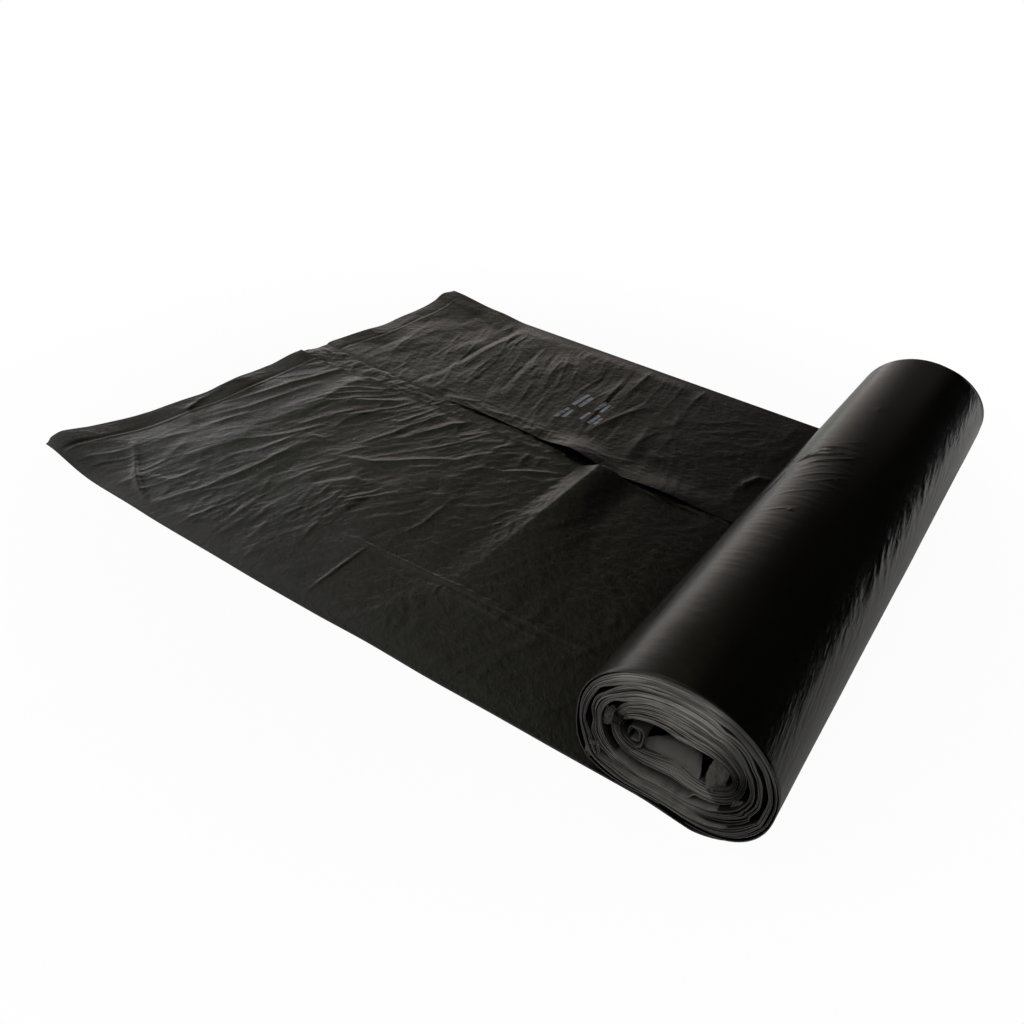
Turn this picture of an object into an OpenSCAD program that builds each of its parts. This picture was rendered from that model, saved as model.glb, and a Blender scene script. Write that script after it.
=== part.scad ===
// A coreless roll of large bin bags, partly unrolled.
// One long film tube was folded in half from both sides into a web, and wound up without a core.
// The free end lies on the floor, passes under the roll and goes on as its outermost turn.
// The section lies in the XZ plane: the roll's axis runs along Y, and the loose bag runs towards -X.
// The origin is on the floor, under the middle of the roll.

/* [Roll] */
// Length of the roll along its axis
roll_length = 375; // [300:1:450]
// Width of the slumped roll, from side to side
roll_width = 80; // [70:1:100]
// Height of the slumped roll above the floor
roll_height = 66; // [58:1:80]
// Height of the roll's middle above the floor, lower than half because it has slumped
middle_height = 32.5; // [29:0.5:36]
// How deep the round form would sink into the floor, which sets the width of the flat spot
flat_sink = 0.6; // [0.2:0.1:1.5]
// How full the two upper corners of the section are: 2 is an ellipse, more is squarer
shoulder_fullness = 2.05; // [1.9:0.05:2.4]
// How full the lower corner is on the outer side
foot_fullness_out = 2.4; // [2:0.1:3]
// How full the lower corner is beside the loose bag
foot_fullness_in = 3.1; // [2.4:0.1:3.6]
// How far the far end lies to the outer side of the near end
far_shift = 0.5; // [-2:0.5:2]

/* [Turns] */
// Number of turns, each standing for several pressed windings
turns = 10; // [7:1:12]
// Thickness of a wound band, as a multiple of the single outermost winding
band_share = 1.6; // [1.2:0.1:2]
// Least gap between one turn and the next
turn_gap = 0.35; // [0.3:0.05:0.5]
// How far the ends of the turns stand in and out of line
end_step = 1.2; // [0:0.1:2.5]

/* [Hollow] */
// Width of the empty middle that is left where a winding mandrel was
hollow_width = 43; // [36:1:46]
// Height of that empty middle
hollow_height = 19; // [14:1:22]
// How far its middle lies beside the roll's middle, on the outer side
hollow_side = 1; // [-2:0.5:2]
// How far its middle lies below the roll's middle
hollow_drop = 1; // [0:0.5:2]

/* [Loose bag] */
// Length of the loose bag from the roll's middle to its free end
loose_length = 406; // [330:1:460]
// How far the near edge has drawn in where it goes under the roll
near_draw_in = 3; // [0:1:8]
// How far the far edge has drawn in where it goes under the roll
far_draw_in = 15; // [0:1:20]
// How far the near edge has spread outwards at the free end
near_spread = 8; // [0:1:12]
// How far the far edge has spread outwards at the free end
far_spread = 2; // [0:1:10]
// Thickness of the lower layers, with the air between their films
base_film = 0.5; // [0.4:0.05:0.8]
// Thickness of a folded-over panel, with the air in it
panel_film = 0.5; // [0.4:0.05:0.8]
// Width of the near panel, folded over the lower layers
near_panel = 203; // [150:1:210]
// Width of the far panel, folded over the lower layers
far_panel = 160; // [130:1:175]
// How far the slit reaches in under the far panel's edge
slit_depth = 14; // [6:1:20]
// Height of the open part of the slit
slit_height = 3.5; // [1.5:0.5:5]
// Distance of the weld from the free end
weld_inset = 14; // [10:1:20]
// Height of the ridge that crosses the near panel
ridge_height = 5; // [2:0.5:7]
// Lift of the near free corner above the floor
near_lift = 8; // [2:0.5:14]
// Lift of the far free corner above the floor
far_lift = 5; // [1:0.5:10]
// Lift of the waves along the free end
wave_lift = 3; // [0:0.5:5]

/* [Hidden] */
film_colour = "#232220";

// Points around one turn, stations along the loose bag, columns across it
around = 44;
stations = 60;
base_columns = 17;
panel_columns = 18;
strip_columns = 3;

half_width = roll_width / 2;
first_angle = 270;
near_y = -roll_length / 2;

// Pockets where the turns stand apart: [turn, angle, half spread in degrees, extra gap]
near_pockets = [
    [0, 185, 50, 0.6],
    [1, 155, 38, 1.8],
    [1, 195, 20, 2.6],
    [2, 175, 34, 0.8],
    [4, 183, 30, 3.2],
    [4, 216, 16, 3.4],
    [1, 55, 22, 1.2],
    [1, 5, 34, 1.8],
    [3, -12, 38, 1.6],
    [5, 20, 36, 0.9],
];
far_pockets = [
    [0, 10, 45, 0.6],
    [1, 20, 36, 2.0],
    [2, -25, 30, 1.6],
    [4, 5, 34, 3.0],
    [1, 150, 30, 1.4],
    [3, 172, 34, 2.4],
    [4, 200, 22, 2.0],
    [5, 130, 28, 0.8],
];

// Creases in the loose bag: [from along %, across %, to along %, across %, height, half width].
// Along runs from the roll's middle to the free end, and across from the near edge to the far one.
creases = [
    [78, 99, 76.5, 60, 1.6, 6],
    [92, 72, 89, 62, 1.1, 6],
    [69, 90, 65, 64, 1.0, 6],
    [64, 92, 58, 65, 1.1, 6],
    [74, 78, 69, 63, 1.2, 6],
    [50, 97, 47, 64, 1.3, 6],
    [35.5, 97, 35, 78, 1.2, 6],
    [41, 80, 43, 62, 0.9, 6],
    [35, 72, 33, 60, 1.0, 7],
    [18, 93, 17.5, 80, 0.7, 5],
    [54, 41, 64, 29, 1.6, 6],
    [64, 29, 70, 27, 1.2, 6],
    [40, 47, 52, 37, 1.3, 6],
    [67, 52, 70, 33, 1.3, 6],
    [62, 51, 64, 40, 1.5, 6],
    [76, 47, 81, 29, 1.2, 6],
    [74, 50, 80, 42, 1.4, 7],
    [76, 29, 78, 18, 1.1, 6],
    [90, 50, 96, 29, 1.3, 7],
    [87, 50, 91, 20, 1.2, 6],
    [95, 26, 93, 6, 1.2, 7],
    [75, 28, 75.5, 6, 1.0, 6],
    [68, 25, 68.5, 5, 1.0, 6],
    [48, 32, 47, 15, 0.9, 5],
    [49, 13, 48, 1, 0.9, 5],
    [92, 8, 76, 1, 1.0, 5],
];

function blend(a, b, share) = a + (b - a) * share;
function limit(value, low, high) = min(max(value, low), high);
// A smooth step from 0 to 1 as value goes from low to high
function ease(value, low, high) =
    let (t = limit((value - low) / (high - low), 0, 1)) t * t * (3 - 2 * t);
// A smooth hump of height 1 at the middle, which ends at the reach
function hump(distance, reach) = 1 - ease(abs(distance), 0, reach);
function total(values, count) = count <= 0 ? 0 : values[count - 1] + total(values, count - 1);

// Distance from the middle to a rounded oblong with its own half sizes and fullness
function oblong(angle, wide, high, fullness) =
    pow(pow(abs(cos(angle)) / wide, fullness) + pow(abs(sin(angle)) / high, fullness), -1 / fullness);

// Outside of the roll, cut flat where it rests on the floor
function outline(angle) =
    let (
        up = sin(angle) >= 0,
        out = cos(angle) >= 0,
        fullness = up ? shoulder_fullness : out ? foot_fullness_out : foot_fullness_in,
        high = up ? roll_height - middle_height : middle_height + flat_sink,
        free = oblong(angle, half_width, high, fullness)
    )
    up ? free : min(free, middle_height / max(-sin(angle), 0.001));

// Outside of the hollow, seen from the roll's middle
function hollow(angle) =
    let (
        wide = hollow_width / 2 + (cos(angle) >= 0 ? hollow_side : -hollow_side),
        high = hollow_height / 2 + (sin(angle) >= 0 ? -hollow_drop : hollow_drop)
    )
    oblong(angle, wide, high, 2.4);

// Smallest difference between two directions
function turn_between(a, b) = let (d = (((a - b) % 360) + 360) % 360) min(d, 360 - d);
function pocket_gap(pockets, turn, angle) =
    turn_gap + total([for (p = pockets) p[0] == turn ?
        p[3] * max(0, 1 - turn_between(angle, p[1]) / p[2]) : 0], len(pockets));

// Share of the film that a pass of the spiral has, at a count of turns from the start
function band(count) = blend(1, band_share, ease(count, 0.9, 1.5));

// Depth of each pass below the outline at one direction, as [outer, inner] from the outside in.
// The film shares out what the gaps leave, so that no turn can touch the next.
// The outermost turn follows the outline, and tucks in over the loose bag at its end.
function passes(pockets, step) =
    let (
        share = step / around,
        angle = first_angle + 360 * share,
        depth = outline(angle) - hollow(angle),
        gaps = [for (m = [0:turns - 1]) pocket_gap(pockets, m, angle)],
        films = [for (m = [0:turns - 1]) band(m + share)],
        tuck = ease(share, 0.65, 1),
        film_sum = tuck + total(films, turns) + (1 - share) * band(turns),
        gap_sum = tuck * turn_gap + total(gaps, turns) + (1 - share) * turn_gap,
        unit = (depth - gap_sum) / film_sum,
        start = tuck * (unit + turn_gap)
    )
    [for (m = [0:turns - 1])
        let (outer = start + unit * total(films, m) + total(gaps, m))
        [outer, outer + unit * films[m]]];

near_passes = [for (k = [0:around]) passes(near_pockets, k)];
far_passes = [for (k = [0:around]) passes(far_pockets, k)];

// Thickness of the web where it passes under the roll's middle
tuck_thickness = near_passes[0][0][1] - near_passes[0][0][0];

// A point of the section, at a depth below the outline
function section_point(angle, depth, y) =
    let (r = outline(angle) - depth)
    [r * cos(angle), y, middle_height + r * sin(angle)];

// Ends of the turns along Y: the outermost turn widens from the loose bag's width
function near_end(count) =
    near_y + blend(near_draw_in, end_step * (0.5 + 0.5 * sin(count * 137)),
        ease(count, 0.02, 0.35));
function far_end(count) =
    roll_length / 2 - blend(far_draw_in, end_step * (0.5 + 0.5 * sin(count * 151 + 40)),
        ease(count, 0.05, 0.6));

// One station of the wound part: lower near, lower far, upper far, upper near
function wound_ring(turn, step) =
    let (
        angle = first_angle + 360 * step / around,
        count = turn + step / around,
        a = near_passes[step][turn],
        b = far_passes[step][turn]
    ) [
        section_point(angle, a[0], near_end(count)),
        section_point(angle, b[0], far_end(count)) + [far_shift, 0, 0],
        section_point(angle, b[1], far_end(count)) + [far_shift, 0, 0],
        section_point(angle, a[1], near_end(count)),
    ];

// Edges of the loose bag along Y
function near_edge(along) =
    near_y + blend(near_draw_in, -near_spread, 1 - pow(1 - along, 1.7));
function far_edge(along) = roll_length / 2 + blend(-far_draw_in, far_spread, along);
function across_y(along, across) = blend(near_edge(along), far_edge(along), across);

// Fold edge of the far panel and of the near panel
function far_fold(along) =
    far_edge(along) - far_panel + 2.5 * sin(along * 700 + 60);
function near_fold(along) = near_edge(along) + near_panel + 2 * sin(along * 620);

// Everything dies down where the web goes under the roll, and at the free end
function away_from_roll(along) = ease(along, 0.11, 0.17);
function before_weld(along) = 1 - ease(along * loose_length, loose_length - weld_inset - 6,
    loose_length - weld_inset);

// How far the whole web is off the floor
function lift(along, across) =
    near_lift * pow(ease(along, 0.84, 1), 2) * pow(1 - ease(across, 0, 0.22), 2)
    + far_lift * pow(ease(along, 0.8, 1), 2) * pow(ease(across, 0.78, 1), 2)
    + wave_lift * ease(along, 0.93, 1) * (hump(across - 0.35, 0.08) + hump(across - 0.51, 0.07)
        + 0.7 * hump(across - 0.7, 0.09));

// Distance to a crease's line, and its height there
function crease_at(c, along, across) =
    let (
        unit = [loose_length / 100, roll_length / 100],
        p = [along * loose_length, across * roll_length],
        a = [c[0] * unit[0], c[1] * unit[1]],
        b = [c[2] * unit[0], c[3] * unit[1]],
        t = limit((p - a) * (b - a) / ((b - a) * (b - a)), 0, 1),
        off = norm(p - a - t * (b - a))
    )
    c[4] * hump(off, 2 * c[5]) * (0.5 + 0.5 * sin(180 * limit(t, 0.1, 0.9)));

// The ridge across the near panel, steep towards the roll
function ridge_at(along, across) =
    let (
        side = along * loose_length - 0.355 * loose_length,
        reach = side > 0 ? 26 : 11,
        down = ease(across, 0.1, 0.57) * (1 - ease(across, 0.575, 0.62))
    )
    ridge_height * hump(side, reach) * blend(0.2, 1, down * down) * ease(across, 0.08, 0.2)
    * (across > 0.62 ? 0 : 1);

// Air and creases between the films, above the flat stack
function relief(along, across) =
    let (
        inside = away_from_roll(along) * before_weld(along),
        side = ease(across, 0, 0.14) * (1 - ease(across, 0.9, 1)),
        swell = 0.5 + 0.35 * sin(along * 1500 + across * 500) + 0.3 * sin(across * 1100 - along * 420)
    )
    inside * side * (max(0, swell)
        + total([for (c = creases) crease_at(c, along, across)], len(creases)));

// How far the far panel's edge stands up, from shut to open
function slit_open(along) =
    away_from_roll(along) * (0.3
        + slit_height * hump(along - 0.4, 0.09) + 0.6 * slit_height * hump(along - 0.25, 0.1));
function slit_reach(along) = blend(0.6, slit_depth, away_from_roll(along) * before_weld(along));

// Height of the stacked films above the floor
function stack(along, layers) =
    let (
        full = base_film + layers * panel_film,
        loose = blend(base_film, full, before_weld(along))
    )
    blend(tuck_thickness, loose, ease(along, 0.09, 0.14));

// A point on top of the web; the last values shift it down or up from there
function top_point(along, y, layers, extra) =
    let (across = (y - near_edge(along)) / (far_edge(along) - near_edge(along)))
    web_point(along, across, stack(along, layers) + extra + relief(along, across));

// A point of the web, with the free end's wavy line
function web_point(along, across, z) =
    let (wavy = 2.5 * sin(across * 800 + 30) + 1.5 * sin(across * 1900))
    [
        -along * loose_length - wavy * ease(along, 0.9, 1),
        across_y(along, across),
        lift(along, across) + z,
    ];

// One station of the loose bag, as a closed ring: the base from near to far, the far fold,
// the far panel, its slit, the strip of the lower layers, the near panel and the near fold.
function loose_ring(along) =
    let (
        near = near_edge(along),
        far = far_edge(along),
        fold_a = near_fold(along),
        fold_b = max(far_fold(along), fold_a + 5),
        open = slit_open(along) * before_weld(along),
        lip = ease(along, 0.11, 0.17) * before_weld(along),
        ridge = ridge_at(along, 0.56) * lip,
        reach = slit_reach(along),
        shut = 1 - lip
    )
    concat(
        [for (i = [0:base_columns - 1]) web_point(along, i / (base_columns - 1), 0)],
        [top_point(along, far, 1, -0.5 * stack(along, 1)) + [0, 0.5, 0]],
        [for (i = [0:panel_columns - 1])
            let (
                share = 1 - pow(1 - i / (panel_columns - 1), 1.25),
                y = blend(far, fold_b, share),
                edge = pow(hump(y - fold_b, 34), 1.5)
            )
            top_point(along, y, 1, open * edge)],
        [top_point(along, fold_b - 0.3 - shut, 1, blend(0, open - panel_film * 0.8, lip))],
        [top_point(along, blend(fold_b - 2, fold_b + reach, lip), 1, -panel_film * lip)],
        [for (i = [1:strip_columns])
            let (y = blend(fold_b - 3, fold_a + 1.6, (i - 1) / (strip_columns - 1)))
            top_point(along, y, 1, -panel_film * lip)],
        [for (i = [0:panel_columns - 1])
            let (
                share = pow(i / (panel_columns - 1), 1.15),
                y = blend(fold_a, near, share),
                across = (y - near) / (far - near)
            )
            top_point(along, y, 1, ridge_at(along, across) * away_from_roll(along))],
        [top_point(along, near, 1, -0.5 * stack(along, 1)) - [0, 0.5, 0]]
    );

ring_size = base_columns + 2 + 2 * panel_columns + 2 + strip_columns;
// Places of the corners in a ring of the loose bag
far_top = base_columns + 1;
near_top = ring_size - 2;

// Which corner of the wound part's ring a point of the loose ring goes to
function corner(i) =
    i < base_columns / 2 ? 0 : i < base_columns + 1 ? 1
    : i < (far_top + near_top) / 2 ? 2 : i < ring_size - 1 ? 3 : 0;

first_along = 0.06;
loose_rings = [for (i = [0:stations - 1])
    loose_ring(blend(1, first_along, i / (stations - 1)))];
wound_rings = concat([for (turn = [0:turns - 1], step = [0:around - 1]) wound_ring(turn, step)],
    [wound_ring(turns - 1, around)]);

loose_points = [for (ring = loose_rings, p = ring) p];
wound_points = [for (ring = wound_rings, p = ring) p];
wound_start = stations * ring_size;
ring_count = len(wound_rings);

// Side faces between two neighbouring rings of the same size
function band_faces(start, size, count) =
    [for (r = [0:count - 2], i = [0:size - 1])
        let (
            j = (i + 1) % size,
            a = start + r * size,
            b = a + size
        )
        each [[a + i, b + i, a + j], [a + j, b + i, b + j]]];

// Faces from the last ring of the loose bag to the first ring of the wound part
function tuck_faces() =
    let (a = (stations - 1) * ring_size, b = wound_start)
    [for (i = [0:ring_size - 1])
        let (j = (i + 1) % ring_size)
        each concat(
            [[a + i, b + corner(i), a + j]],
            corner(i) == corner(j) ? [] : [[a + j, b + corner(i), b + corner(j)]]
        )];

// The free end, between the top and the base of the first ring
top_count = near_top - far_top + 1;
function base_under(i) =
    base_columns - 1 - round(i * (base_columns - 1) / (top_count - 1));
function free_end_faces() = concat(
    [[base_columns - 1, base_columns, far_top], [near_top, ring_size - 1, 0]],
    [for (i = [0:top_count - 2])
        each concat(
            [[far_top + i, far_top + i + 1, base_under(i)]],
            base_under(i) == base_under(i + 1) ? []
            : [[far_top + i + 1, base_under(i + 1), base_under(i)]]
        )]
);

// The inner end of the spiral
function inner_end_faces() =
    let (a = wound_start + (ring_count - 1) * 4)
    [[a, a + 3, a + 2], [a, a + 2, a + 1]];

module bin_bag_roll() {
    color(film_colour)
        polyhedron(
            points = concat(loose_points, wound_points),
            faces = concat(
                band_faces(0, ring_size, stations),
                tuck_faces(),
                band_faces(wound_start, 4, ring_count),
                free_end_faces(),
                inner_end_faces()
            ),
            convexity = 20
        );
}

bin_bag_roll();
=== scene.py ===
# %% [markdown]
# # A roll of large bin bags, partly unrolled
# The real thing is one very long tube of black film. It is pressed flat, folded in half from both
# sides and wound up without a core. Here the first bag is pulled off the roll and lies on the floor.
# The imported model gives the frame: its box is the size that every piece below is worked out from.
# Lengths in this script are millimetres, and a mesh is turned into metres when it is made.

# %% The frame
import math
import bpy
import numpy as np
from mathutils import Matrix, Vector


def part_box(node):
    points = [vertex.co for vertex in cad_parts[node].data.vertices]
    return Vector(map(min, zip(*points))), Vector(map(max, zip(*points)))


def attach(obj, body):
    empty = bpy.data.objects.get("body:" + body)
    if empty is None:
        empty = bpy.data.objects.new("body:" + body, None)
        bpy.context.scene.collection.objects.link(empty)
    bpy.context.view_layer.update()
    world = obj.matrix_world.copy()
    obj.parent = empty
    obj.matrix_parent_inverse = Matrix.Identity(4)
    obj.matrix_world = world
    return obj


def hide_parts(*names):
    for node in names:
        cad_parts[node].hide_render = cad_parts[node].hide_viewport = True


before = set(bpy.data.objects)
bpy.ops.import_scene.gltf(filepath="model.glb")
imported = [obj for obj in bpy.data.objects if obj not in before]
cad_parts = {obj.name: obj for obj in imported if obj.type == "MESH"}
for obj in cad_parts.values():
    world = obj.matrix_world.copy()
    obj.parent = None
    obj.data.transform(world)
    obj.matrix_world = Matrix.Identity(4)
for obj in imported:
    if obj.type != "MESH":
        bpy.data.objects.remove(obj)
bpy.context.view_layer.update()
cad_low, cad_high = [np.array(corner) * 1000 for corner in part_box("bin_bag_roll")]
print(len(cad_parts), "node, solid from", cad_low.round(1), "to", cad_high.round(1), "mm")

# %% [markdown]
# ## Sizes
# The roll's height and width come from the frame. The others are the same named sizes that the solid
# has, because the film that is made here lies in and on that solid. The section of the roll is an
# oblong with round corners, cut flat where it rests on the floor. The ridge's place is a share of the
# loose length, the bag's top is the height of its film where it lies flat, and the last size is the
# way once round the roll.

# %% Sizes of the roll and the loose bag
MM = 0.001
ROLL_LENGTH = 375.0
FAR_SHIFT = 0.5
ROLL_HEIGHT = cad_high[2]
HALF_WIDTH = cad_high[0] - FAR_SHIFT
MIDDLE_HEIGHT = 32.5
FLAT_SINK = 0.6
SHOULDER, FOOT_OUT, FOOT_IN = 2.05, 2.4, 3.1
HOLLOW_HALF = (21.5, 9.5)
HOLLOW_SIDE, HOLLOW_DROP, HOLLOW_FULLNESS = 1.0, 1.0, 2.4
LOOSE_LENGTH = 406.0
NEAR_DRAW_IN, FAR_DRAW_IN = 3.0, 15.0
NEAR_SPREAD, FAR_SPREAD = 8.0, 2.0
NEAR_PANEL, FAR_PANEL = 203.0, 160.0
RIDGE_PLACE = 0.355
WELD_INSET = 14.0
BAG_TOP = 0.88
ROUND_ROLL = 233.0
NEAR_Y, FAR_Y = -ROLL_LENGTH / 2, ROLL_LENGTH / 2
print("roll", 2 * HALF_WIDTH, "by", ROLL_HEIGHT, "by", ROLL_LENGTH, "mm")

# %% Small helpers for curves and steps


def blend(a, b, share):
    """The value at a share of the way from a to b."""
    return a + (b - a) * share


def ease(value, low, high):
    """A smooth step from 0 to 1 as value goes from low to high."""
    t = np.clip((np.asarray(value, float) - low) / (high - low), 0, 1)
    return t * t * (3 - 2 * t)


def hump(distance, reach):
    """A smooth hump of height 1 at distance 0, which ends at the reach."""
    return 1 - ease(np.abs(distance), 0, reach)


def smooth_noise(u, v, seed):
    """Rolling noise from -1 to 1, with one random value on each whole number of u and v."""
    u, v = np.broadcast_arrays(np.asarray(u, float), np.asarray(v, float))
    table = np.random.default_rng(seed).uniform(-1, 1, (64, 64))
    iu, iv = np.floor(u).astype(int), np.floor(v).astype(int)
    fu, fv = ease(u - iu, 0, 1), ease(v - iv, 0, 1)
    low = blend(table[iu % 64, iv % 64], table[(iu + 1) % 64, iv % 64], fu)
    high = blend(table[iu % 64, (iv + 1) % 64], table[(iu + 1) % 64, (iv + 1) % 64], fu)
    return blend(low, high, fv)


print("noise of one place:", round(float(smooth_noise(3.4, 1.2, 7)), 3))

# %% [markdown]
# ## Creases
# Thin film keeps every crease that it ever had. A crease is a narrow, sharp-crested wave along a
# line, so it is held as a short path with a height and a half width. A height below zero is a
# valley. The paths are listed where the real bag shows them, and fine ones are scattered
# between them with a fixed seed. Modelled creases catch the light from every side, as painted ones
# would not.

# %% How a crease raises the film


def crease(x, y, path, height, width):
    """Height that one crease adds at every point x, y."""
    path = np.asarray(path, float)
    added = np.zeros_like(x)
    reach = 4 * width
    near = (x > path[:, 0].min() - reach) & (x < path[:, 0].max() + reach)
    near &= (y > path[:, 1].min() - reach) & (y < path[:, 1].max() + reach)
    if not near.any():
        return added
    px, py = x[near], y[near]
    legs = np.diff(path, axis=0)
    lengths = np.hypot(legs[:, 0], legs[:, 1])
    best, place = np.full(px.shape, 1e9), np.zeros(px.shape)
    walked = 0.0
    for start, leg, length in zip(path, legs, lengths):
        t = np.clip(((px - start[0]) * leg[0] + (py - start[1]) * leg[1]) / length**2, 0, 1)
        off = np.hypot(px - start[0] - t * leg[0], py - start[1] - t * leg[1])
        closer = off < best
        best = np.where(closer, off, best)
        place = np.where(closer, (walked + t * length) / lengths.sum(), place)
        walked += length
    taper = np.sin(np.pi * np.clip(place, 0.08, 0.92)) ** 0.7
    added[near] = height * taper * np.exp(-((best / width) ** 1.15))
    return added


def wrinkles(x, y, heading, apart, length, seed):
    """Dense, sharp-crested wrinkles from 0 to 1, that run along a heading and bend a little."""
    turn = math.radians(heading)
    u = x * math.cos(turn) + y * math.sin(turn)
    v = -x * math.sin(turn) + y * math.cos(turn)
    v = v + 7 * smooth_noise(u / 60, v / 60, seed) + 2.5 * smooth_noise(u / 21, v / 26, seed + 1)
    large = 1 - np.abs(smooth_noise(u / length, v / apart, seed + 2))
    small = 1 - np.abs(smooth_noise(u / (0.5 * length), v / (0.5 * apart), seed + 3))
    strength = ease(smooth_noise(u / 50, v / 34, seed + 4), -0.5, 0.7)
    fine = 1 - np.abs(smooth_noise(u / (0.4 * length), v / (0.28 * apart), seed + 5))
    crests = 0.34 * large**2 + 0.36 * large**6 + 0.28 * small**3 + 0.12 * fine**3
    return crests * blend(0.3, 1, strength)


def inside(x, y, box, soft):
    """1 inside a box of x from, x to, y from and y to, with soft edges."""
    wide = ease(x, box[0] - soft, box[0] + soft) * (1 - ease(x, box[1] - soft, box[1] + soft))
    return wide * ease(y, box[2] - soft, box[2] + soft) * (1 - ease(y, box[3] - soft, box[3] + soft))


def scattered(rng, count, box, heading, spread, length, height, width):
    """Random short creases in a box: paths with a slight bend, as (height, width, path)."""
    made = []
    for _ in range(count):
        middle = rng.uniform((box[0], box[2]), (box[1], box[3]))
        turn = math.radians(heading + rng.normal() * spread)
        half = length * rng.uniform(0.4, 1.3) / 2
        along = np.array([math.cos(turn), math.sin(turn)]) * half
        bend = np.array([-along[1], along[0]]) * rng.uniform(-0.25, 0.25)
        share = rng.uniform(0.4, 1.2) * rng.choice([1, 1, -1])
        path = [middle - along, middle + bend, middle + along]
        made.append((height * share, width * rng.uniform(0.7, 1.4), path))
    return made


crest = crease(np.array([5.0]), np.zeros(1), [(0, 0), (10, 0)], 1.0, 2.0)
print("a crease of 1 mm is", round(float(crest[0]), 2), "mm high at its middle")


# %% The creases of the far panel
# Height and half width, then places as (distance from the roll's middle, distance from its near end)
FAR_CREASES = [
    (-1.0, 3.5, [(322, 374), (319, 330), (317, 290), (315, 255), (315, 235)]),
    (0.8, 5.0, [(313, 372), (312, 330), (311, 290), (309, 240)]),
    (0.9, 4.0, [(300, 300), (296, 270), (290, 250), (280, 235)]),
    (-0.7, 2.5, [(282, 335), (276, 310), (270, 285), (262, 255), (255, 240)]),
    (-0.5, 2.5, [(270, 345), (262, 320), (255, 300)]),
    (0.7, 3.0, [(262, 300), (250, 275), (243, 255), (238, 235)]),
    (-0.6, 2.5, [(280, 285), (275, 265), (268, 245), (262, 232)]),
    (0.5, 2.5, [(268, 300), (262, 270), (252, 245)]),
    (0.8, 4.0, [(378, 300), (373, 280), (370, 265), (364, 245), (357, 232)]),
    (-0.6, 4.0, [(378, 275), (378, 255), (376, 240)]),
    (-0.5, 3.0, [(388, 320), (382, 305), (380, 298)]),
    (-0.6, 2.5, [(336, 238), (330, 228)]),
    (-0.5, 2.5, [(320, 235), (316, 222)]),
    (0.5, 2.5, [(313, 235), (306, 222)]),
    (-1.2, 5.0, [(290, 225), (285, 215), (282, 212)]),
    (-0.4, 2.5, [(222, 350), (214, 320), (210, 300)]),
    (-0.6, 1.8, [(200, 345), (195, 318), (192, 295), (188, 270), (183, 245), (178, 228)]),
    (0.8, 3.0, [(193, 365), (189, 335), (187, 310)]),
    (0.6, 2.0, [(204, 345), (199, 320), (196, 300), (191, 275), (188, 255), (183, 235)]),
    (0.8, 3.0, [(167, 300), (172, 285), (176, 265), (180, 240)]),
    (0.7, 2.5, [(145, 365), (144, 335), (143, 325)]),
    (0.4, 2.0, [(143, 322), (138, 300), (134, 285)]),
    (0.6, 2.5, [(138, 288), (132, 275), (130, 258)]),
    (0.4, 2.0, [(146, 292), (138, 284)]),
    (0.5, 2.5, [(135, 248), (127, 241), (120, 244)]),
    (1.0, 5.0, [(150, 280), (146, 255), (143, 235), (140, 222)]),
    (0.5, 2.0, [(71, 360), (70, 330), (71, 315)]),
    (1.5, 2.4, [(57, 266), (64, 264), (68, 252), (70, 241)]),
    (0.3, 2.0, [(86, 277), (95, 280)]),
]
print(len(FAR_CREASES), "creases on the far panel")

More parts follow.
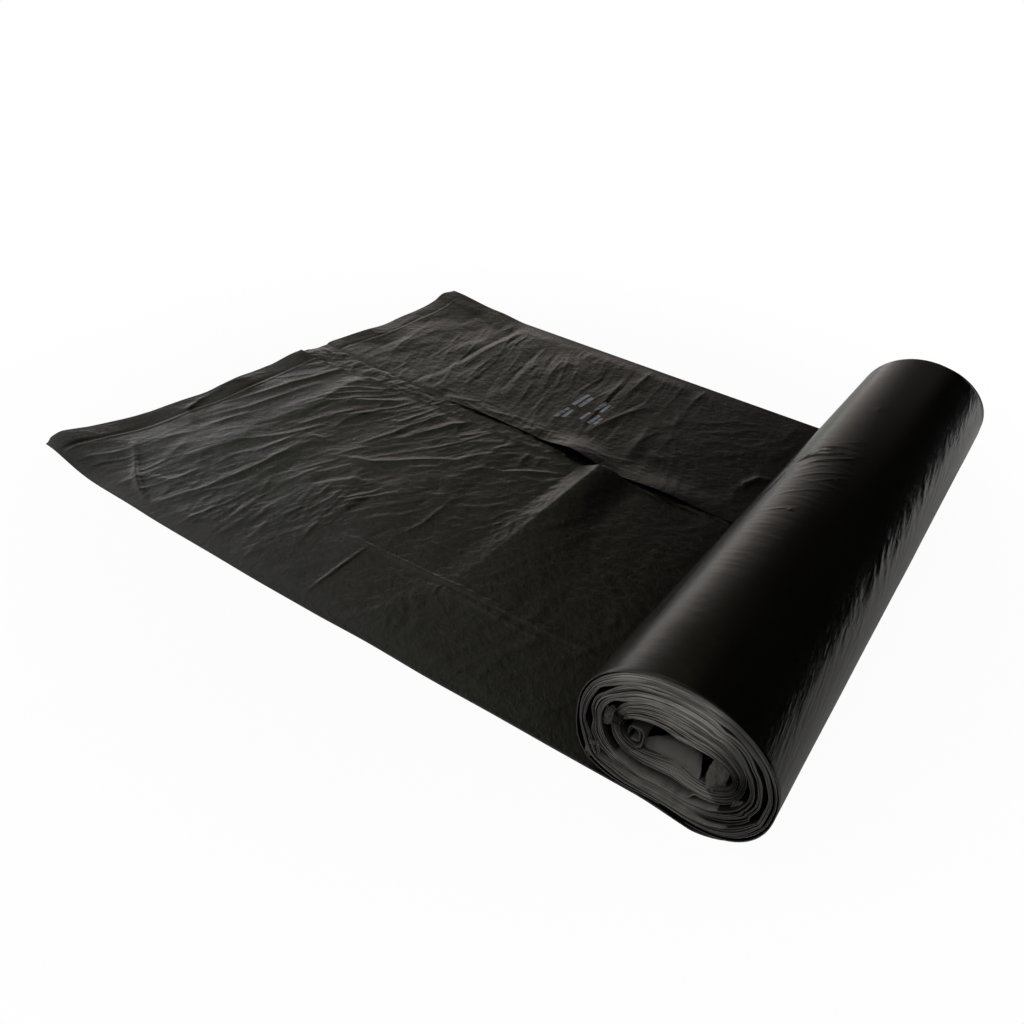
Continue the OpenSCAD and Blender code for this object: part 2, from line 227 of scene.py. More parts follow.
# %% The creases of the near panel
# Height and half width, then places, as on the far panel
NEAR_CREASES = [
    (1.3, 2.5, [(218, 152), (230, 143), (240, 133), (247, 125), (258, 113), (270, 108), (285, 102)]),
    (0.6, 2.0, [(225, 135), (240, 122)]),
    (1.1, 1.3, [(164, 180), (178, 170), (186, 163), (195, 157)]),
    (0.5, 2.0, [(166, 168), (158, 173)]),
    (0.4, 2.0, [(183, 160), (165, 164)]),
    (0.7, 2.0, [(198, 157), (204, 152), (210, 142)]),
    (0.6, 2.0, [(203, 137), (212, 127)]),
    (0.4, 2.0, [(197, 135), (204, 125)]),
    (0.5, 2.0, [(205, 112), (211, 108)]),
    (0.7, 2.0, [(192, 190), (190, 178), (187, 170)]),
    (0.5, 2.0, [(182, 190), (180, 178)]),
    (0.7, 2.0, [(205, 172), (198, 182)]),
    (0.6, 2.0, [(171, 188), (163, 195), (155, 197)]),
    (0.5, 2.0, [(217, 185), (224, 178), (230, 172)]),
    (1.3, 3.0, [(300, 192), (303, 185), (315, 173), (325, 164), (327, 160)]),
    (0.9, 2.5, [(275, 197), (276, 185), (279, 170), (282, 163), (290, 160)]),
    (0.9, 2.5, [(265, 195), (268, 182), (270, 170)]),
    (1.2, 3.5, [(247, 195), (252, 185), (256, 172), (262, 158), (265, 148)]),
    (-0.6, 4.0, [(240, 188), (245, 170), (243, 155)]),
    (0.8, 2.0, [(272, 165), (274, 150), (277, 138), (280, 127)]),
    (-0.8, 2.5, [(268, 160), (270, 148)]),
    (0.6, 2.0, [(275, 125), (279, 112), (282, 104)]),
    (0.9, 2.5, [(303, 165), (308, 150), (310, 143), (308, 130)]),
    (1.1, 3.0, [(313, 158), (322, 135), (327, 118), (333, 112)]),
    (0.8, 2.5, [(315, 130), (318, 115), (325, 98), (333, 85), (338, 76)]),
    (0.6, 2.0, [(298, 115), (307, 112), (315, 110)]),
    (0.8, 2.5, [(317, 112), (318, 95), (320, 75), (323, 70)]),
    (0.9, 2.5, [(308, 100), (307, 85), (306, 65), (307, 50), (308, 30), (310, 17)]),
    (0.6, 2.0, [(277, 92), (279, 75), (281, 62)]),
    (2.2, 9.0, [(345, 180), (340, 150), (345, 130)]),
    (1.7, 3.0, [(368, 190), (371, 170), (376, 150), (380, 130), (385, 115), (388, 105)]),
    (0.6, 2.5, [(378, 170), (392, 150)]),
    (0.8, 2.5, [(362, 165), (366, 140), (370, 110), (376, 90)]),
    (0.9, 2.5, [(364, 105), (367, 85), (370, 75)]),
    (0.6, 3.5, [(360, 55), (352, 35)]),
    (0.5, 2.5, [(372, 60), (373, 40)]),
    (1.3, 2.6, [(405, 112), (402, 95), (395, 80), (385, 75), (372, 68)]),
    (2.0, 1.5, [(378, 30), (365, 22), (350, 12), (335, 4), (320, -1), (308, -4)]),
    (0.8, 3.0, [(345, 12), (330, 20), (318, 24)]),
    (0.6, 2.0, [(280, 25), (279, 12), (285, 7), (300, 3)]),
    (0.5, 1.5, [(277, 40), (275, 25), (274, 12)]),
    (0.5, 2.0, [(268, 42), (264, 30), (262, 20)]),
    (0.4, 2.0, [(268, 27), (268, 8)]),
    (0.6, 2.0, [(259, 35), (255, 25), (252, 13)]),
    (0.6, 1.2, [(237, 50), (234, 40), (231, 32)]),
    (0.9, 1.0, [(234, 46), (210, 49), (190, 51), (140, 54), (66, 58)]),
    (0.8, 1.0, [(178, 43), (160, 45), (135, 49), (90, 50)]),
    (0.9, 0.9, [(200, 50), (199, 30), (198, 15), (197, 2)]),
    (0.6, 1.8, [(195, 115), (193, 95), (192, 85), (194, 72), (196, 65), (193, 57)]),
    (0.3, 2.0, [(70, 92), (66, 74)]),
]
print(len(NEAR_CREASES), "creases on the near panel")

# %% Fields of wrinkles
# Box (x from, x to, y from, y to), heading in degrees from the X axis, distance apart, length, height
FAR_FIELDS = [
    ((-350, -225, 24, 170), 109, 7.5, 60, 0.85),
    ((-232, -130, 24, 180), 99, 7.0, 50, 0.50),
    ((-410, -345, 30, 150), 95, 12.0, 70, 0.60),
    ((-290, -120, 20, 36), 176, 5.0, 40, 0.45),
    ((-140, -50, 22, 180), 104, 8.0, 36, 0.60),
    ((-130, -48, 26, 150), 58, 9.0, 28, 0.50),
]
NEAR_FIELDS = [
    ((-350, -225, -195, -110), 84, 7.0, 34, 0.80),
    ((-345, -200, -120, 8), 66, 7.5, 40, 0.85),
    ((-412, -340, -190, 10), 80, 13.0, 80, 1.1),
    ((-225, -148, -100, 10), 50, 6.0, 26, 0.58),
    ((-160, -140, -180, -10), 112, 4.2, 14, 0.62),
    ((-260, -150, -192, -90), 66, 6.0, 34, 0.60),
    ((-140, -50, -185, 8), 70, 10.0, 44, 0.52),
    ((-132, -50, -150, 4), 122, 9.0, 26, 0.42),
    ((-142, -46, 3, 18), 170, 5.0, 26, 1.50),
]
print(len(FAR_FIELDS) + len(NEAR_FIELDS), "fields of wrinkles")

# %% Fine creases between the large ones
# Count, box, heading, spread of the headings, length, height, half width
FINE_FAR = [
    (60, (-345, -225, 30, 175), 107, 9, 30, 0.35, 1.8),
    (30, (-225, -130, 30, 170), 100, 12, 26, 0.28, 1.6),
    (16, (-400, -340, 30, 160), 96, 12, 34, 0.35, 3.5),
    (30, (-300, -120, 22, 40), 8, 14, 26, 0.3, 1.4),
    (30, (-130, -60, 22, 180), 95, 30, 16, 0.14, 1.4),
]
FINE_NEAR = [
    (70, (-340, -240, -190, -125), 96, 22, 18, 0.32, 1.5),
    (60, (-330, -200, -125, 8), 68, 16, 24, 0.34, 1.7),
    (26, (-400, -330, -180, 8), 82, 14, 34, 0.4, 3.2),
    (34, (-215, -150, -80, 8), 52, 16, 17, 0.3, 1.5),
    (30, (-153, -143, -180, -20), 112, 12, 9, 0.3, 1.1),
    (22, (-150, -112, -180, -140), 90, 5, 20, 0.16, 1.0),
    (30, (-140, -60, -170, 8), 70, 30, 20, 0.12, 1.6),
]


def on_the_bag(places):
    """Places from (distance from the roll's middle, distance from its near end) to x and y."""
    return [(2.0 - distance, NEAR_Y + side) for distance, side in places]


def all_creases(rng, chosen, groups):
    """The listed creases, set on the bag, and then the scattered ones of every group."""
    made = [(height, width, on_the_bag(path)) for height, width, path in chosen]
    for group in groups:
        made += scattered(rng, *group)
    return made


rng = np.random.default_rng(11)
far_creases = all_creases(rng, FAR_CREASES, FINE_FAR)
near_creases = all_creases(rng, NEAR_CREASES, FINE_NEAR)
print(len(far_creases) + len(near_creases), "creases in all")

# %% [markdown]
# ## The loose bag
# The loose bag is a flattened tube folded in half from both sides: the lower films run the whole
# width, and a near and a far panel are folded over them. The two panels nearly meet, and the slit
# between them stands open where a ridge crosses the bag. Each panel is a fine grid whose height is a
# sum of plain rules: the air under it, the ridge, the creases and the lift of the free corners.

# %% Edges, lift and ridge of the loose bag


def near_edge(along):
    """Where the bag's near edge is, which spreads a little towards the free end."""
    drawn = blend(0.8, NEAR_DRAW_IN, ease(along, -0.05, 0.03))
    waves = 0.9 * smooth_noise(along * 11, 0.5, 97) * ease(along, 0.12, 0.2)
    return NEAR_Y + blend(drawn, -NEAR_SPREAD, 1 - (1 - along) ** 1.7) + waves


def far_edge(along):
    """Where the bag's far edge is."""
    return FAR_Y + blend(-FAR_DRAW_IN, FAR_SPREAD, along)


def near_fold(along):
    """Where the near panel ends at the slit."""
    return near_edge(along) + NEAR_PANEL + 2 * np.sin(np.radians(620 * along))


def far_fold(along):
    """Where the far panel ends at the slit."""
    return far_edge(along) - FAR_PANEL + 2.5 * np.sin(np.radians(700 * along + 60))


def wavy_end(across):
    """How far the torn free end stands in and out."""
    waves = 2.5 * np.sin(np.radians(across * 800 + 30)) + 1.5 * np.sin(np.radians(across * 1900))
    near_corner = 3.0 * hump(across, 0.014)
    near_bay = 2.2 * hump(across - 0.06, 0.06)
    far_corner = 4.0 * hump(across - 1, 0.03)
    return waves - near_corner - near_bay - far_corner


def lift(along, across):
    """How far the whole bag is off the floor, at its corners and in waves along its free end."""
    waves = hump(across - 0.35, 0.08) + hump(across - 0.51, 0.07) + 0.7 * hump(across - 0.7, 0.09)
    return (
        8.0 * ease(along, 0.84, 1) ** 2 * (1 - ease(across, 0, 0.22)) ** 2
        + 5.0 * ease(along, 0.8, 1) ** 2 * ease(across, 0.78, 1) ** 2
        + 3.0 * ease(along, 0.93, 1) * waves
    )


def ridge_profile(along, drift):
    """Height share across the ridge: steep towards the free end and broad towards the roll."""
    side = RIDGE_PLACE * LOOSE_LENGTH - along * LOOSE_LENGTH
    slope = np.clip(1 + side / 13, 0, 1) ** 1.3
    return np.where(side < 0, slope, hump(side, 30 + drift))


def ridge(along, across):
    """The ridge over the near panel, which fades towards the near edge."""
    profile = ridge_profile(along, 30 * ease(0.5 - across, 0, 0.4))
    down = ease(across, 0.1, 0.57) * (1 - ease(across, 0.575, 0.62))
    return 5.6 * profile * blend(0.16, 1, down**1.5) * ease(across, 0.08, 0.2) * (across < 0.62)


def slit_lift(along):
    """How far the far panel's edge stands up."""
    uneven = 0.12 + 0.7 * np.maximum(0, smooth_noise(along * 22, 0.5, 33)) * (along > 0.5)
    by_roll = 0.9 * hump(along - 0.13, 0.07)
    return uneven + 4.4 * hump(along - 0.41, 0.08) + 3.3 * hump(along - 0.25, 0.12) + by_roll


def away_from_roll(along):
    """0 beside the roll, which presses the bag flat, and 1 a little way off."""
    return ease(along, 0.105, 0.165)


def under_roll(along, z):
    """Heights pressed together under the roll, and lifted to follow the turn that starts there."""
    z = z * blend(1, 0.35, ease(-along, 0.0, 0.032))
    past = np.clip(-along * LOOSE_LENGTH / HALF_WIDTH, 0, 0.9)
    rounded = MIDDLE_HEIGHT - (MIDDLE_HEIGHT + FLAT_SINK) * (1 - past**FOOT_OUT) ** (1 / FOOT_OUT)
    return z + np.maximum(0, rounded)


def weld_press(along, y):
    """How far the bag is pressed down on the weld line, where its films are melted together."""
    off_line = ((1 - along) * LOOSE_LENGTH - WELD_INSET) / 1.6
    return np.exp(-(off_line**2)) * blend(0.1, 0.5, ease(-y, -20, 60))


print("near edge at the free end:", round(float(near_edge(1.0)), 1), "mm")

# %% From a grid of points to a sheet of film


def new_object(name, data):
    """An object for a mesh or a camera, linked to the scene."""
    made = bpy.data.objects.new(name, data)
    bpy.context.scene.collection.objects.link(made)
    return made


def face_count(*pieces):
    """How many faces some pieces have."""
    return sum(len(piece.data.polygons) for piece in pieces)


def sheet_of_points(name, points, flip=False):
    """A mesh object from rows and columns of points in millimetres."""
    rows, columns = points.shape[:2]
    spot = np.arange(rows * columns).reshape(rows, columns)
    corners = [spot[:-1, :-1], spot[:-1, 1:], spot[1:, 1:], spot[1:, :-1]]
    faces = np.stack(corners[::-1] if flip else corners, -1).reshape(-1, 4)
    mesh = bpy.data.meshes.new(name)
    mesh.from_pydata((points.reshape(-1, 3) * MM).tolist(), [], faces.tolist())
    mesh.polygons.foreach_set("use_smooth", [True] * len(mesh.polygons))
    return new_object(name, mesh)


def give_thickness(piece, thickness):
    """A thickness laid under the modelled surface, with the film's cut edges in the second material."""
    shell = piece.modifiers.new("film thickness", "SOLIDIFY")
    shell.thickness = thickness * MM
    shell.offset = -1
    shell.use_quality_normals = True
    shell.material_offset_rim = 1
    return piece


def rows_along():
    """Shares along the loose bag, close together where it is creased, and on under the roll."""
    creased = np.arange(LOOSE_LENGTH, 140, -0.85)
    smooth = np.arange(140, -27, -1.6)
    return (np.concatenate([creased, smooth]) / LOOSE_LENGTH)[:, None]


def columns_across(width, coarse):
    """Distances from a panel's fold, close together in the strip along the slit."""
    fine = np.arange(0, 24, 0.9)
    return np.concatenate([fine, np.linspace(24, width, coarse)])[None, :] / width


print(len(rows_along()), "rows on a panel")

# %% The height of a panel's film


def film_height(along, y, creases, fields, seed):
    """Place across the bag and height of a panel, from the air under it, its creases and its weld."""
    near, far = near_edge(along), far_edge(along)
    across = (y - near) / (far - near)
    x = -along * LOOSE_LENGTH
    side = ease(across, 0, 0.035) * (1 - ease(across, 0.95, 1))
    air = 0.7 + 0.55 * smooth_noise(x / 42, y / 60, seed) + 0.40 * smooth_noise(x / 17, y / 28, seed + 1)
    air = air + 0.10 * smooth_noise(x / 6, y / 11, seed + 2)
    calm = blend(0.3, 1, ease(-x, 120, 230))
    total = np.zeros_like(x + y)
    flat_x, flat_y = np.broadcast_arrays(x, y)
    for height, width, path in creases:
        total += crease(flat_x, flat_y, path, height, width)
    for number, (box, heading, apart, length, height) in enumerate(fields):
        share = inside(flat_x, flat_y, box, 9)
        field_seed = seed + 100 + 10 * number
        total += height * share * wrinkles(flat_x, flat_y, heading, apart, length, field_seed)
    from_end = (1 - along) * LOOSE_LENGTH
    strip = np.clip(WELD_INSET - from_end, 0, WELD_INSET) * blend(0.12, 0.05, ease(across, 0.25, 0.5))
    weld = 0.6 * np.exp(-(((from_end - WELD_INSET - 1.6) / 0.9) ** 2))
    weld = weld * blend(1, 0.4, ease(across, 0.3, 0.6))
    raised = air * blend(calm, 1.5 * calm, ease(-x, 290, 340)) + total + strip + weld
    raised = 0.5 * (raised + np.sqrt(raised**2 + 0.15))
    pressed = 1 - weld_press(along, y)
    return across, BAG_TOP + raised * side * away_from_roll(along) * pressed


def fold_round(top, edge_y, direction):
    """Columns that carry a panel round its outer fold and a little way under the lower films."""
    x, floor = top[:, -1, 0], top[:, -1, 2] - np.minimum(BAG_TOP, top[:, -1, 2])
    radius = BAG_TOP / 2
    columns = []
    for turn in (30, 60, 90, 120, 150, 180):
        a = math.radians(turn)
        out = edge_y[:, 0] + direction * radius * math.sin(a)
        columns.append(np.stack([x, out, floor + radius + radius * math.cos(a)], -1))
    for inward in (2.0, 5.0):
        columns.append(np.stack([x, edge_y[:, 0] - direction * inward, floor], -1))
    return np.concatenate([top, np.stack(columns, 1)], 1)


print("ridge height:", round(float(ridge(RIDGE_PLACE, 0.56).max()), 2), "mm")

# %% The near panel
along = rows_along()
near_share = columns_across(NEAR_PANEL, 140)
near_y = blend(near_fold(along), near_edge(along), near_share)
across, height = film_height(along, near_y, near_creases, NEAR_FIELDS, 21)
lip = np.exp(-(((near_y - near_fold(along)) / 2.2) ** 2)) * away_from_roll(along)
height = height + ridge(along, across) * away_from_roll(along) + 0.45 * lip
near_x = -along * LOOSE_LENGTH - wavy_end(across) * ease(along, 0.9, 1)
near_top = np.stack([near_x, near_y, under_roll(along, lift(along, across) + height)], -1)
near_panel = sheet_of_points("near_panel", fold_round(near_top, near_edge(along), -1))
print("near panel:", face_count(near_panel), "faces, top at", round(near_top[..., 2].max(), 1), "mm")

# %% The far panel
far_share = columns_across(FAR_PANEL, 108)
far_y = blend(far_fold(along), far_edge(along), far_share)
across, height = film_height(along, far_y, far_creases, FAR_FIELDS, 31)
lip = hump(far_y - far_fold(along), 34) ** 1.5 * ease(along, 0.092, 0.13)
strip_start = FAR_Y - 33 + 13 * ease(along, 0.80, 0.90)
corner_tilt = 3.2 * ease(along, 0.79, 0.87) * np.clip((far_y - strip_start) / 34, 0, 1) ** 0.8
height = height + slit_lift(along) * lip + corner_tilt
settled = np.exp(-(((far_y - far_fold(along)) / 3.5) ** 2)) * ease(along, 0.62, 0.75)
height = blend(height, 0.85, 0.85 * settled)
far_x = -along * LOOSE_LENGTH - wavy_end(across) * ease(along, 0.9, 1)
far_top = np.stack([far_x, far_y, under_roll(along, lift(along, across) + height)], -1)
far_panel = sheet_of_points("far_panel", fold_round(far_top, far_edge(along), 1), flip=True)
print("far panel:", face_count(far_panel), "faces, top at", round(far_top[..., 2].max(), 1), "mm")

# %% The lower films, which show in the slit
# Columns are close together only in the strip that the panels leave open
strip = np.linspace(-4, 34, 27)
low_near = np.linspace(0, 1, 40)[None, :]
low_y = np.concatenate(
    [
        blend(near_edge(along) + 1.2, near_fold(along) - 8, low_near),
        near_fold(along) + strip[None, :],
        blend(near_fold(along) + 40, far_edge(along) - 1.2, np.linspace(0, 1, 32)[None, :]),
    ],
    1,
)
across = (low_y - near_edge(along)) / (far_edge(along) - near_edge(along))
past_near_fold = ease(low_y, near_fold(along) - 8, near_fold(along))
in_strip = past_near_fold * (1 - ease(low_y, far_fold(along) - 1, far_fold(along) + 10))
low_x = -along * LOOSE_LENGTH + 0 * low_y
crumple = 1.6 * wrinkles(low_x, low_y, 75, 7, 12, 41) + 1.0 * wrinkles(low_x, low_y, 5, 5, 24, 46)
toward_far = ease(low_y, near_fold(along), far_fold(along) + 8)
under_ridge = 4.6 * ridge_profile(along, 0) ** 2 * blend(1, 0.75, toward_far)
low_step = 0.4 * ease(along, 0.72, 0.8) + 1.0 * ease(along, 0.93, 1)
raised = (crumple * 0.8 + under_ridge + low_step) * in_strip * away_from_roll(along)
low_x = low_x - (wavy_end(across) - 0.8) * ease(along, 0.9, 1)
low_z = under_roll(along, lift(along, across) + 0.55 + raised)
lower_film = sheet_of_points("lower_film", np.stack([low_x, low_y, low_z], -1), flip=True)
print("lower films:", face_count(lower_film), "faces")

# %% [markdown]
# ## The roll's section
# Every winding follows the one outside it, from the outer outline to the hollow that the winding
# mandrel left. At each direction the film and the pockets between the windings share the depth, so
# that no winding can cut through the next. The near end and the far end have their own pockets.

# %% The windings and their pockets
TURNS = 34
# The windings from this one on are pressed into a smooth oval ring round the hollow
RING_START = 15
RING_LEFT, RING_RIGHT, RING_UP, RING_DOWN = 25.0, 27.5, 20.5, 19.5
RING_FULLNESS = 2.25
LEAST_GAP = 0.07
WEB_UNDER_ROLL = 1.35
# The near end's wide gaps: the winding outside each one, then places of (direction, extra gap).
# The film is stiff, so a gap runs straight from one place to the next, with a kink at each
NEAR_GAPS = {
    0: [
        (-78, 0), (-70, 0.3), (-45, 0.5), (-20, 0.6), (10, 0.6), (38, 0.4), (52, 0.2), (60, 0),
        (118, 0), (140, 0.4), (156, 0.7), (180, 0.6), (192, 1.0), (202, 1.7), (218, 1.5), (230, 1.0),
        (248, 0.5), (262, 0),
    ],
    6: [
        (-37, 0), (-19, 0.6), (-15, 2.7), (-4, 1.3), (6, 2.1), (18, 1.2), (27, 2.0), (38, 0.4), (48, 0.8),
        (57, 2.0), (64, 0.2), (68, 0), (104, 0), (111, 0.6), (119, 0), (140, 0), (147, 0.7), (157, 2.4),
        (166, 0.6), (178, 1.2), (184, 2.6), (189, 3.9), (194, 2.0), (198, 0.6), (205, 0.4), (211, 1.2),
        (216, 3.6), (219, 4.2), (223, 2.4), (227, 0), (248, 0), (253, 0.5), (258, 0),
    ],
    10: [
        (-30, 0), (-18, 0.6), (0, 0.8), (20, 0.7), (45, 0.6), (56, 0.3), (64, 0), (148, 0), (166, 0.6),
        (178, 0.8), (189, 0.9), (198, 1.1), (206, 0.9), (211, 1.4), (218, 1.5), (224, 0.4), (230, 0),
    ],
}
# The pocket round the inner ring, which is open all along the bottom. One winding crosses it there
NEAR_POCKET = [
    (-90, 5.0), (-78, 4.8), (-66, 4.4), (-52, 3.6), (-40, 1.8), (-28, 1.2), (-16, 1.6), (-5, 2.0),
    (5, 2.3), (13, 1.6), (26, 1.4), (40, 1.8), (50, 1.5), (57, 0), (126, 0), (133, 0.3), (142, 0.2),
    (149, 0.8), (157, 2.9), (166, 3.8), (178, 4.6), (189, 4.6), (198, 4.4), (210, 4.4), (219, 4.8),
    (230, 4.4), (248, 5.2), (262, 4.7), (270, 5.0),
]
FAR_POCKET = [
    (-90, 2.0), (-60, 3.0), (-30, 1.0), (-8, 2.2), (8, 3.2), (22, 1.6), (36, 0), (140, 0), (156, 0.8),
    (184, 1.6), (200, 2.8), (225, 1.4), (250, 2.6), (270, 2.0),
]
# The shares of a turn between which the winding crosses the pocket
CROSSING = (0.050, 0.092)
FAR_GAPS = {
    1: [(-40, 0), (-10, 0.5), (20, 0.6), (50, 0), (150, 0), (175, 0.8), (205, 0.5), (225, 0)],
    5: [
        (-25, 0), (-8, 1.2), (12, 2.4), (30, 1.0), (44, 0), (128, 0), (140, 1.0), (152, 2.2),
        (166, 0.6), (180, 0),
    ],
    9: [
        (-38, 0), (-28, 1.6), (-12, 0.8), (4, 0), (150, 0), (168, 1.6), (180, 2.6), (194, 1.0),
        (206, 0),
    ],
}


def kinked_gaps(rng):
    """Narrow gaps with kinks at random places, for about every third winding."""
    made = {}
    for turn in (2, 4, 8, 12, 17, 19, 22, 24, 27, 29, 31):
        places = np.cumsum(rng.uniform(16, 44, 12)) - 85
        places = places[places < 262]
        values = 0.14 + 0.6 * rng.uniform(0, 1, len(places)) ** 1.7
        values[0] = values[-1] = 0
        made[turn] = list(zip(places, values))
    return made


NEAR_TABLES = (NEAR_POCKET, (NEAR_GAPS, kinked_gaps(np.random.default_rng(5))))
FAR_TABLES = (FAR_POCKET, (FAR_GAPS, kinked_gaps(np.random.default_rng(6))))
print(TURNS, "windings,", len(NEAR_GAPS), "wide gaps near and", len(FAR_GAPS), "far")

# %% Outline, hollow and inner ring


def direction_at(share):
    """Direction in degrees at a share of a turn, which starts straight down."""
    return 270 + 360 * share


def oblong(angle, wide, high, fullness):
    """Distance from the middle to a rounded oblong with its own half sizes."""
    a = np.radians(angle)
    across, up = np.abs(np.cos(a) / wide), np.abs(np.sin(a) / high)
    return (across**fullness + up**fullness) ** (-1 / fullness)


def outline(angle):
    """Distance from the middle to the roll's outside, which is cut flat at the floor."""
    a = np.radians(angle)
    up = np.sin(a) >= 0
    fullness = np.where(up, SHOULDER, np.where(np.cos(a) >= 0, FOOT_OUT, FOOT_IN))
    high = np.where(up, ROLL_HEIGHT - MIDDLE_HEIGHT, MIDDLE_HEIGHT + FLAT_SINK)
    free = oblong(angle, HALF_WIDTH, high, fullness)
    return np.where(up, free, np.minimum(free, MIDDLE_HEIGHT / np.maximum(-np.sin(a), 0.001)))


def hollow(angle):
    """Distance from the middle to the edge of the hollow, which is raised on its left."""
    a = np.radians(angle)
    wide = HOLLOW_HALF[0] + np.where(np.cos(a) >= 0, HOLLOW_SIDE, -HOLLOW_SIDE)
    raised = blend(-HOLLOW_DROP, 0.8, ease(-np.cos(a), -0.2, 0.7))
    high = HOLLOW_HALF[1] + np.where(np.sin(a) >= 0, raised, HOLLOW_DROP)
    return oblong(angle, wide, high, HOLLOW_FULLNESS)


def ring_outline(angle):
    """Distance from the middle to the outside of the inner ring."""
    a = math.radians(angle)
    wide = RING_RIGHT if math.cos(a) >= 0 else RING_LEFT
    high = RING_UP if math.sin(a) >= 0 else RING_DOWN
    return float(oblong(angle, wide, high, RING_FULLNESS))


print("the hollow is", 2 * HOLLOW_HALF[0], "by", 2 * HOLLOW_HALF[1], "mm")

# %% The depth of each winding


def from_places(places, angle):
    """The value at one direction of a list of (direction, value), which is 0 outside its ends."""
    turned = (angle + 90) % 360 - 90
    return float(np.interp(turned, [p[0] for p in places], [p[1] for p in places], 0, 0))


def all_gaps(gaps, angle, share, seed):
    """Gap inside each winding at one direction: the least gap, loose places and the kinked gaps."""
    turns = np.arange(TURNS)
    loose = np.maximum(0, smooth_noise(turns * 5.3, share * 7, seed)) ** 1.3
    made = LEAST_GAP + 0.26 * loose * math.sin(math.pi * share) ** 0.5
    for table in gaps:
        for turn, places in table.items():
            made[turn] += from_places(places, angle)
    return made


def windings(tables, share, seed):
    """Depth of every winding's outer side below the outline, and every winding's thickness."""
    pocket, gap_tables = tables
    angle = direction_at(share)
    gaps = all_gaps(gap_tables, angle, share, seed)
    open_by = from_places(pocket, angle)
    tuck = float(ease(share, 0.65, 1))
    web = WEB_UNDER_ROLL * (1 - float(ease(share, 0.02, 0.14)))
    start_web = WEB_UNDER_ROLL * tuck
    full = float(outline(angle) - hollow(angle))
    ring = float(outline(angle)) - ring_outline(angle)
    # Winding RING_START lies outside the pocket until it crosses it, and inside from there on
    outside = 1 - float(ease(share, *CROSSING))
    rest = 1 - share
    used = gaps[:RING_START].sum() + tuck * LEAST_GAP + open_by + web + start_web
    outer = (ring - used) / (RING_START + outside + tuck)
    inner_gaps = gaps[RING_START + 1 :].sum() + (1 - outside) * gaps[RING_START] + rest * LEAST_GAP
    inner = (full - ring - inner_gaps) / (TURNS - RING_START - outside + rest)
    thick = np.where(np.arange(TURNS) < RING_START, outer, inner)
    thick[RING_START] = blend(inner, outer, outside)
    depth = np.zeros(TURNS)
    depth[0] = tuck * (outer + LEAST_GAP) + start_web
    for turn in range(1, RING_START + 1):
        depth[turn] = depth[turn - 1] + outer + gaps[turn - 1] + (web if turn == 1 else 0)
    depth[RING_START] = blend(ring, depth[RING_START], outside)
    depth[RING_START + 1] = ring + (1 - outside) * (inner + gaps[RING_START])
    for turn in range(RING_START + 2, TURNS):
        depth[turn] = depth[turn - 1] + inner + gaps[turn - 1]
    return depth, thick


def skin_places(turn, share):
    """Where a winding's outer side lies at the near and at the far end, and how thick it is."""
    angle = direction_at(share)
    a = math.radians(angle)
    places = []
    for tables, seed, shift in ((NEAR_TABLES, 51, 0.0), (FAR_TABLES, 52, FAR_SHIFT)):
        depth, thick = windings(tables, share, seed)
        r = float(outline(angle)) - depth[turn]
        places.append((r * math.cos(a) + shift, MIDDLE_HEIGHT + r * math.sin(a)))
    return places, thick[turn]


for share in (0.03, 0.25, 0.5, 0.75, 0.86, 0.98):
    thick = windings(NEAR_TABLES, share, 51)[1]
    print("at", direction_at(share), "degrees a winding is", thick[[0, -1]].round(2), "mm")

# %% [markdown]
# ## The outermost winding
# The outer film is drawn tight, so it is smooth and shiny, with fine ripples that run round it and
# a few sharp creases over the top. It starts under the roll, where the loose bag ends, goes up the
# outer side and over the top, and comes down on top of the loose bag. It is a finer grid than the
# windings inside, and at both ends of the roll it turns in round its folds.

# %% The grid of the outermost winding
# Height and half width, then places as (degrees round the roll, distance along it from its middle)
ROLL_CREASES = [
    (1.00, 0.9, [(147, 9), (141, 12), (134, 16), (124, 17), (118, 17), (109, 19.5)]),
    (0.80, 0.7, [(128, 6.5), (114, 9.5), (102, 13.5), (96.5, 16.5)]),
    (1.20, 0.9, [(128, 23.5), (114, 22.5), (104, 21.5), (95, 20)]),
    (-0.7, 1.4, [(127, 27), (112, 26), (100, 24.5)]),
    (0.70, 1.8, [(146, 16), (138, 18.5), (131, 21)]),
    (0.24, 0.6, [(141, -16), (125, -10.5), (110, -6.5), (97, -3.5), (83, -2)]),
    (0.20, 0.6, [(140, -35), (122, -30), (104, -25.5)]),
    (0.22, 0.6, [(139, -52), (122, -50), (108, -46.5)]),
    (0.16, 0.6, [(142, -9), (128, -2), (118, 2), (104, 5)]),
    (0.20, 0.6, [(139, 2), (122, 8), (110, 11)]),
    (0.16, 0.6, [(121, -21), (108, -15), (98, -10), (88, -6)]),
    (0.16, 0.7, [(119, 33), (108, 35), (99, 38)]),
    (0.50, 0.8, [(114, -50.5), (111, -49.5)]),
    (0.50, 1.2, [(109, 88), (106, 87)]),
    (-0.35, 2.5, [(152, -30), (149, -10), (147, 10)]),
]
# Millimetres round the roll for one degree
ARC = math.pi * (HALF_WIDTH + ROLL_HEIGHT / 2) / 360


def end_of_winding(count, seed):
    """How far a winding's end stands in from the roll's end, in millimetres."""
    count = np.asarray(count, float)
    return 0.75 + 0.55 * smooth_noise(count * 2.3, 0.5, seed) + 0.2 * smooth_noise(count * 9.1, 4.5, seed)


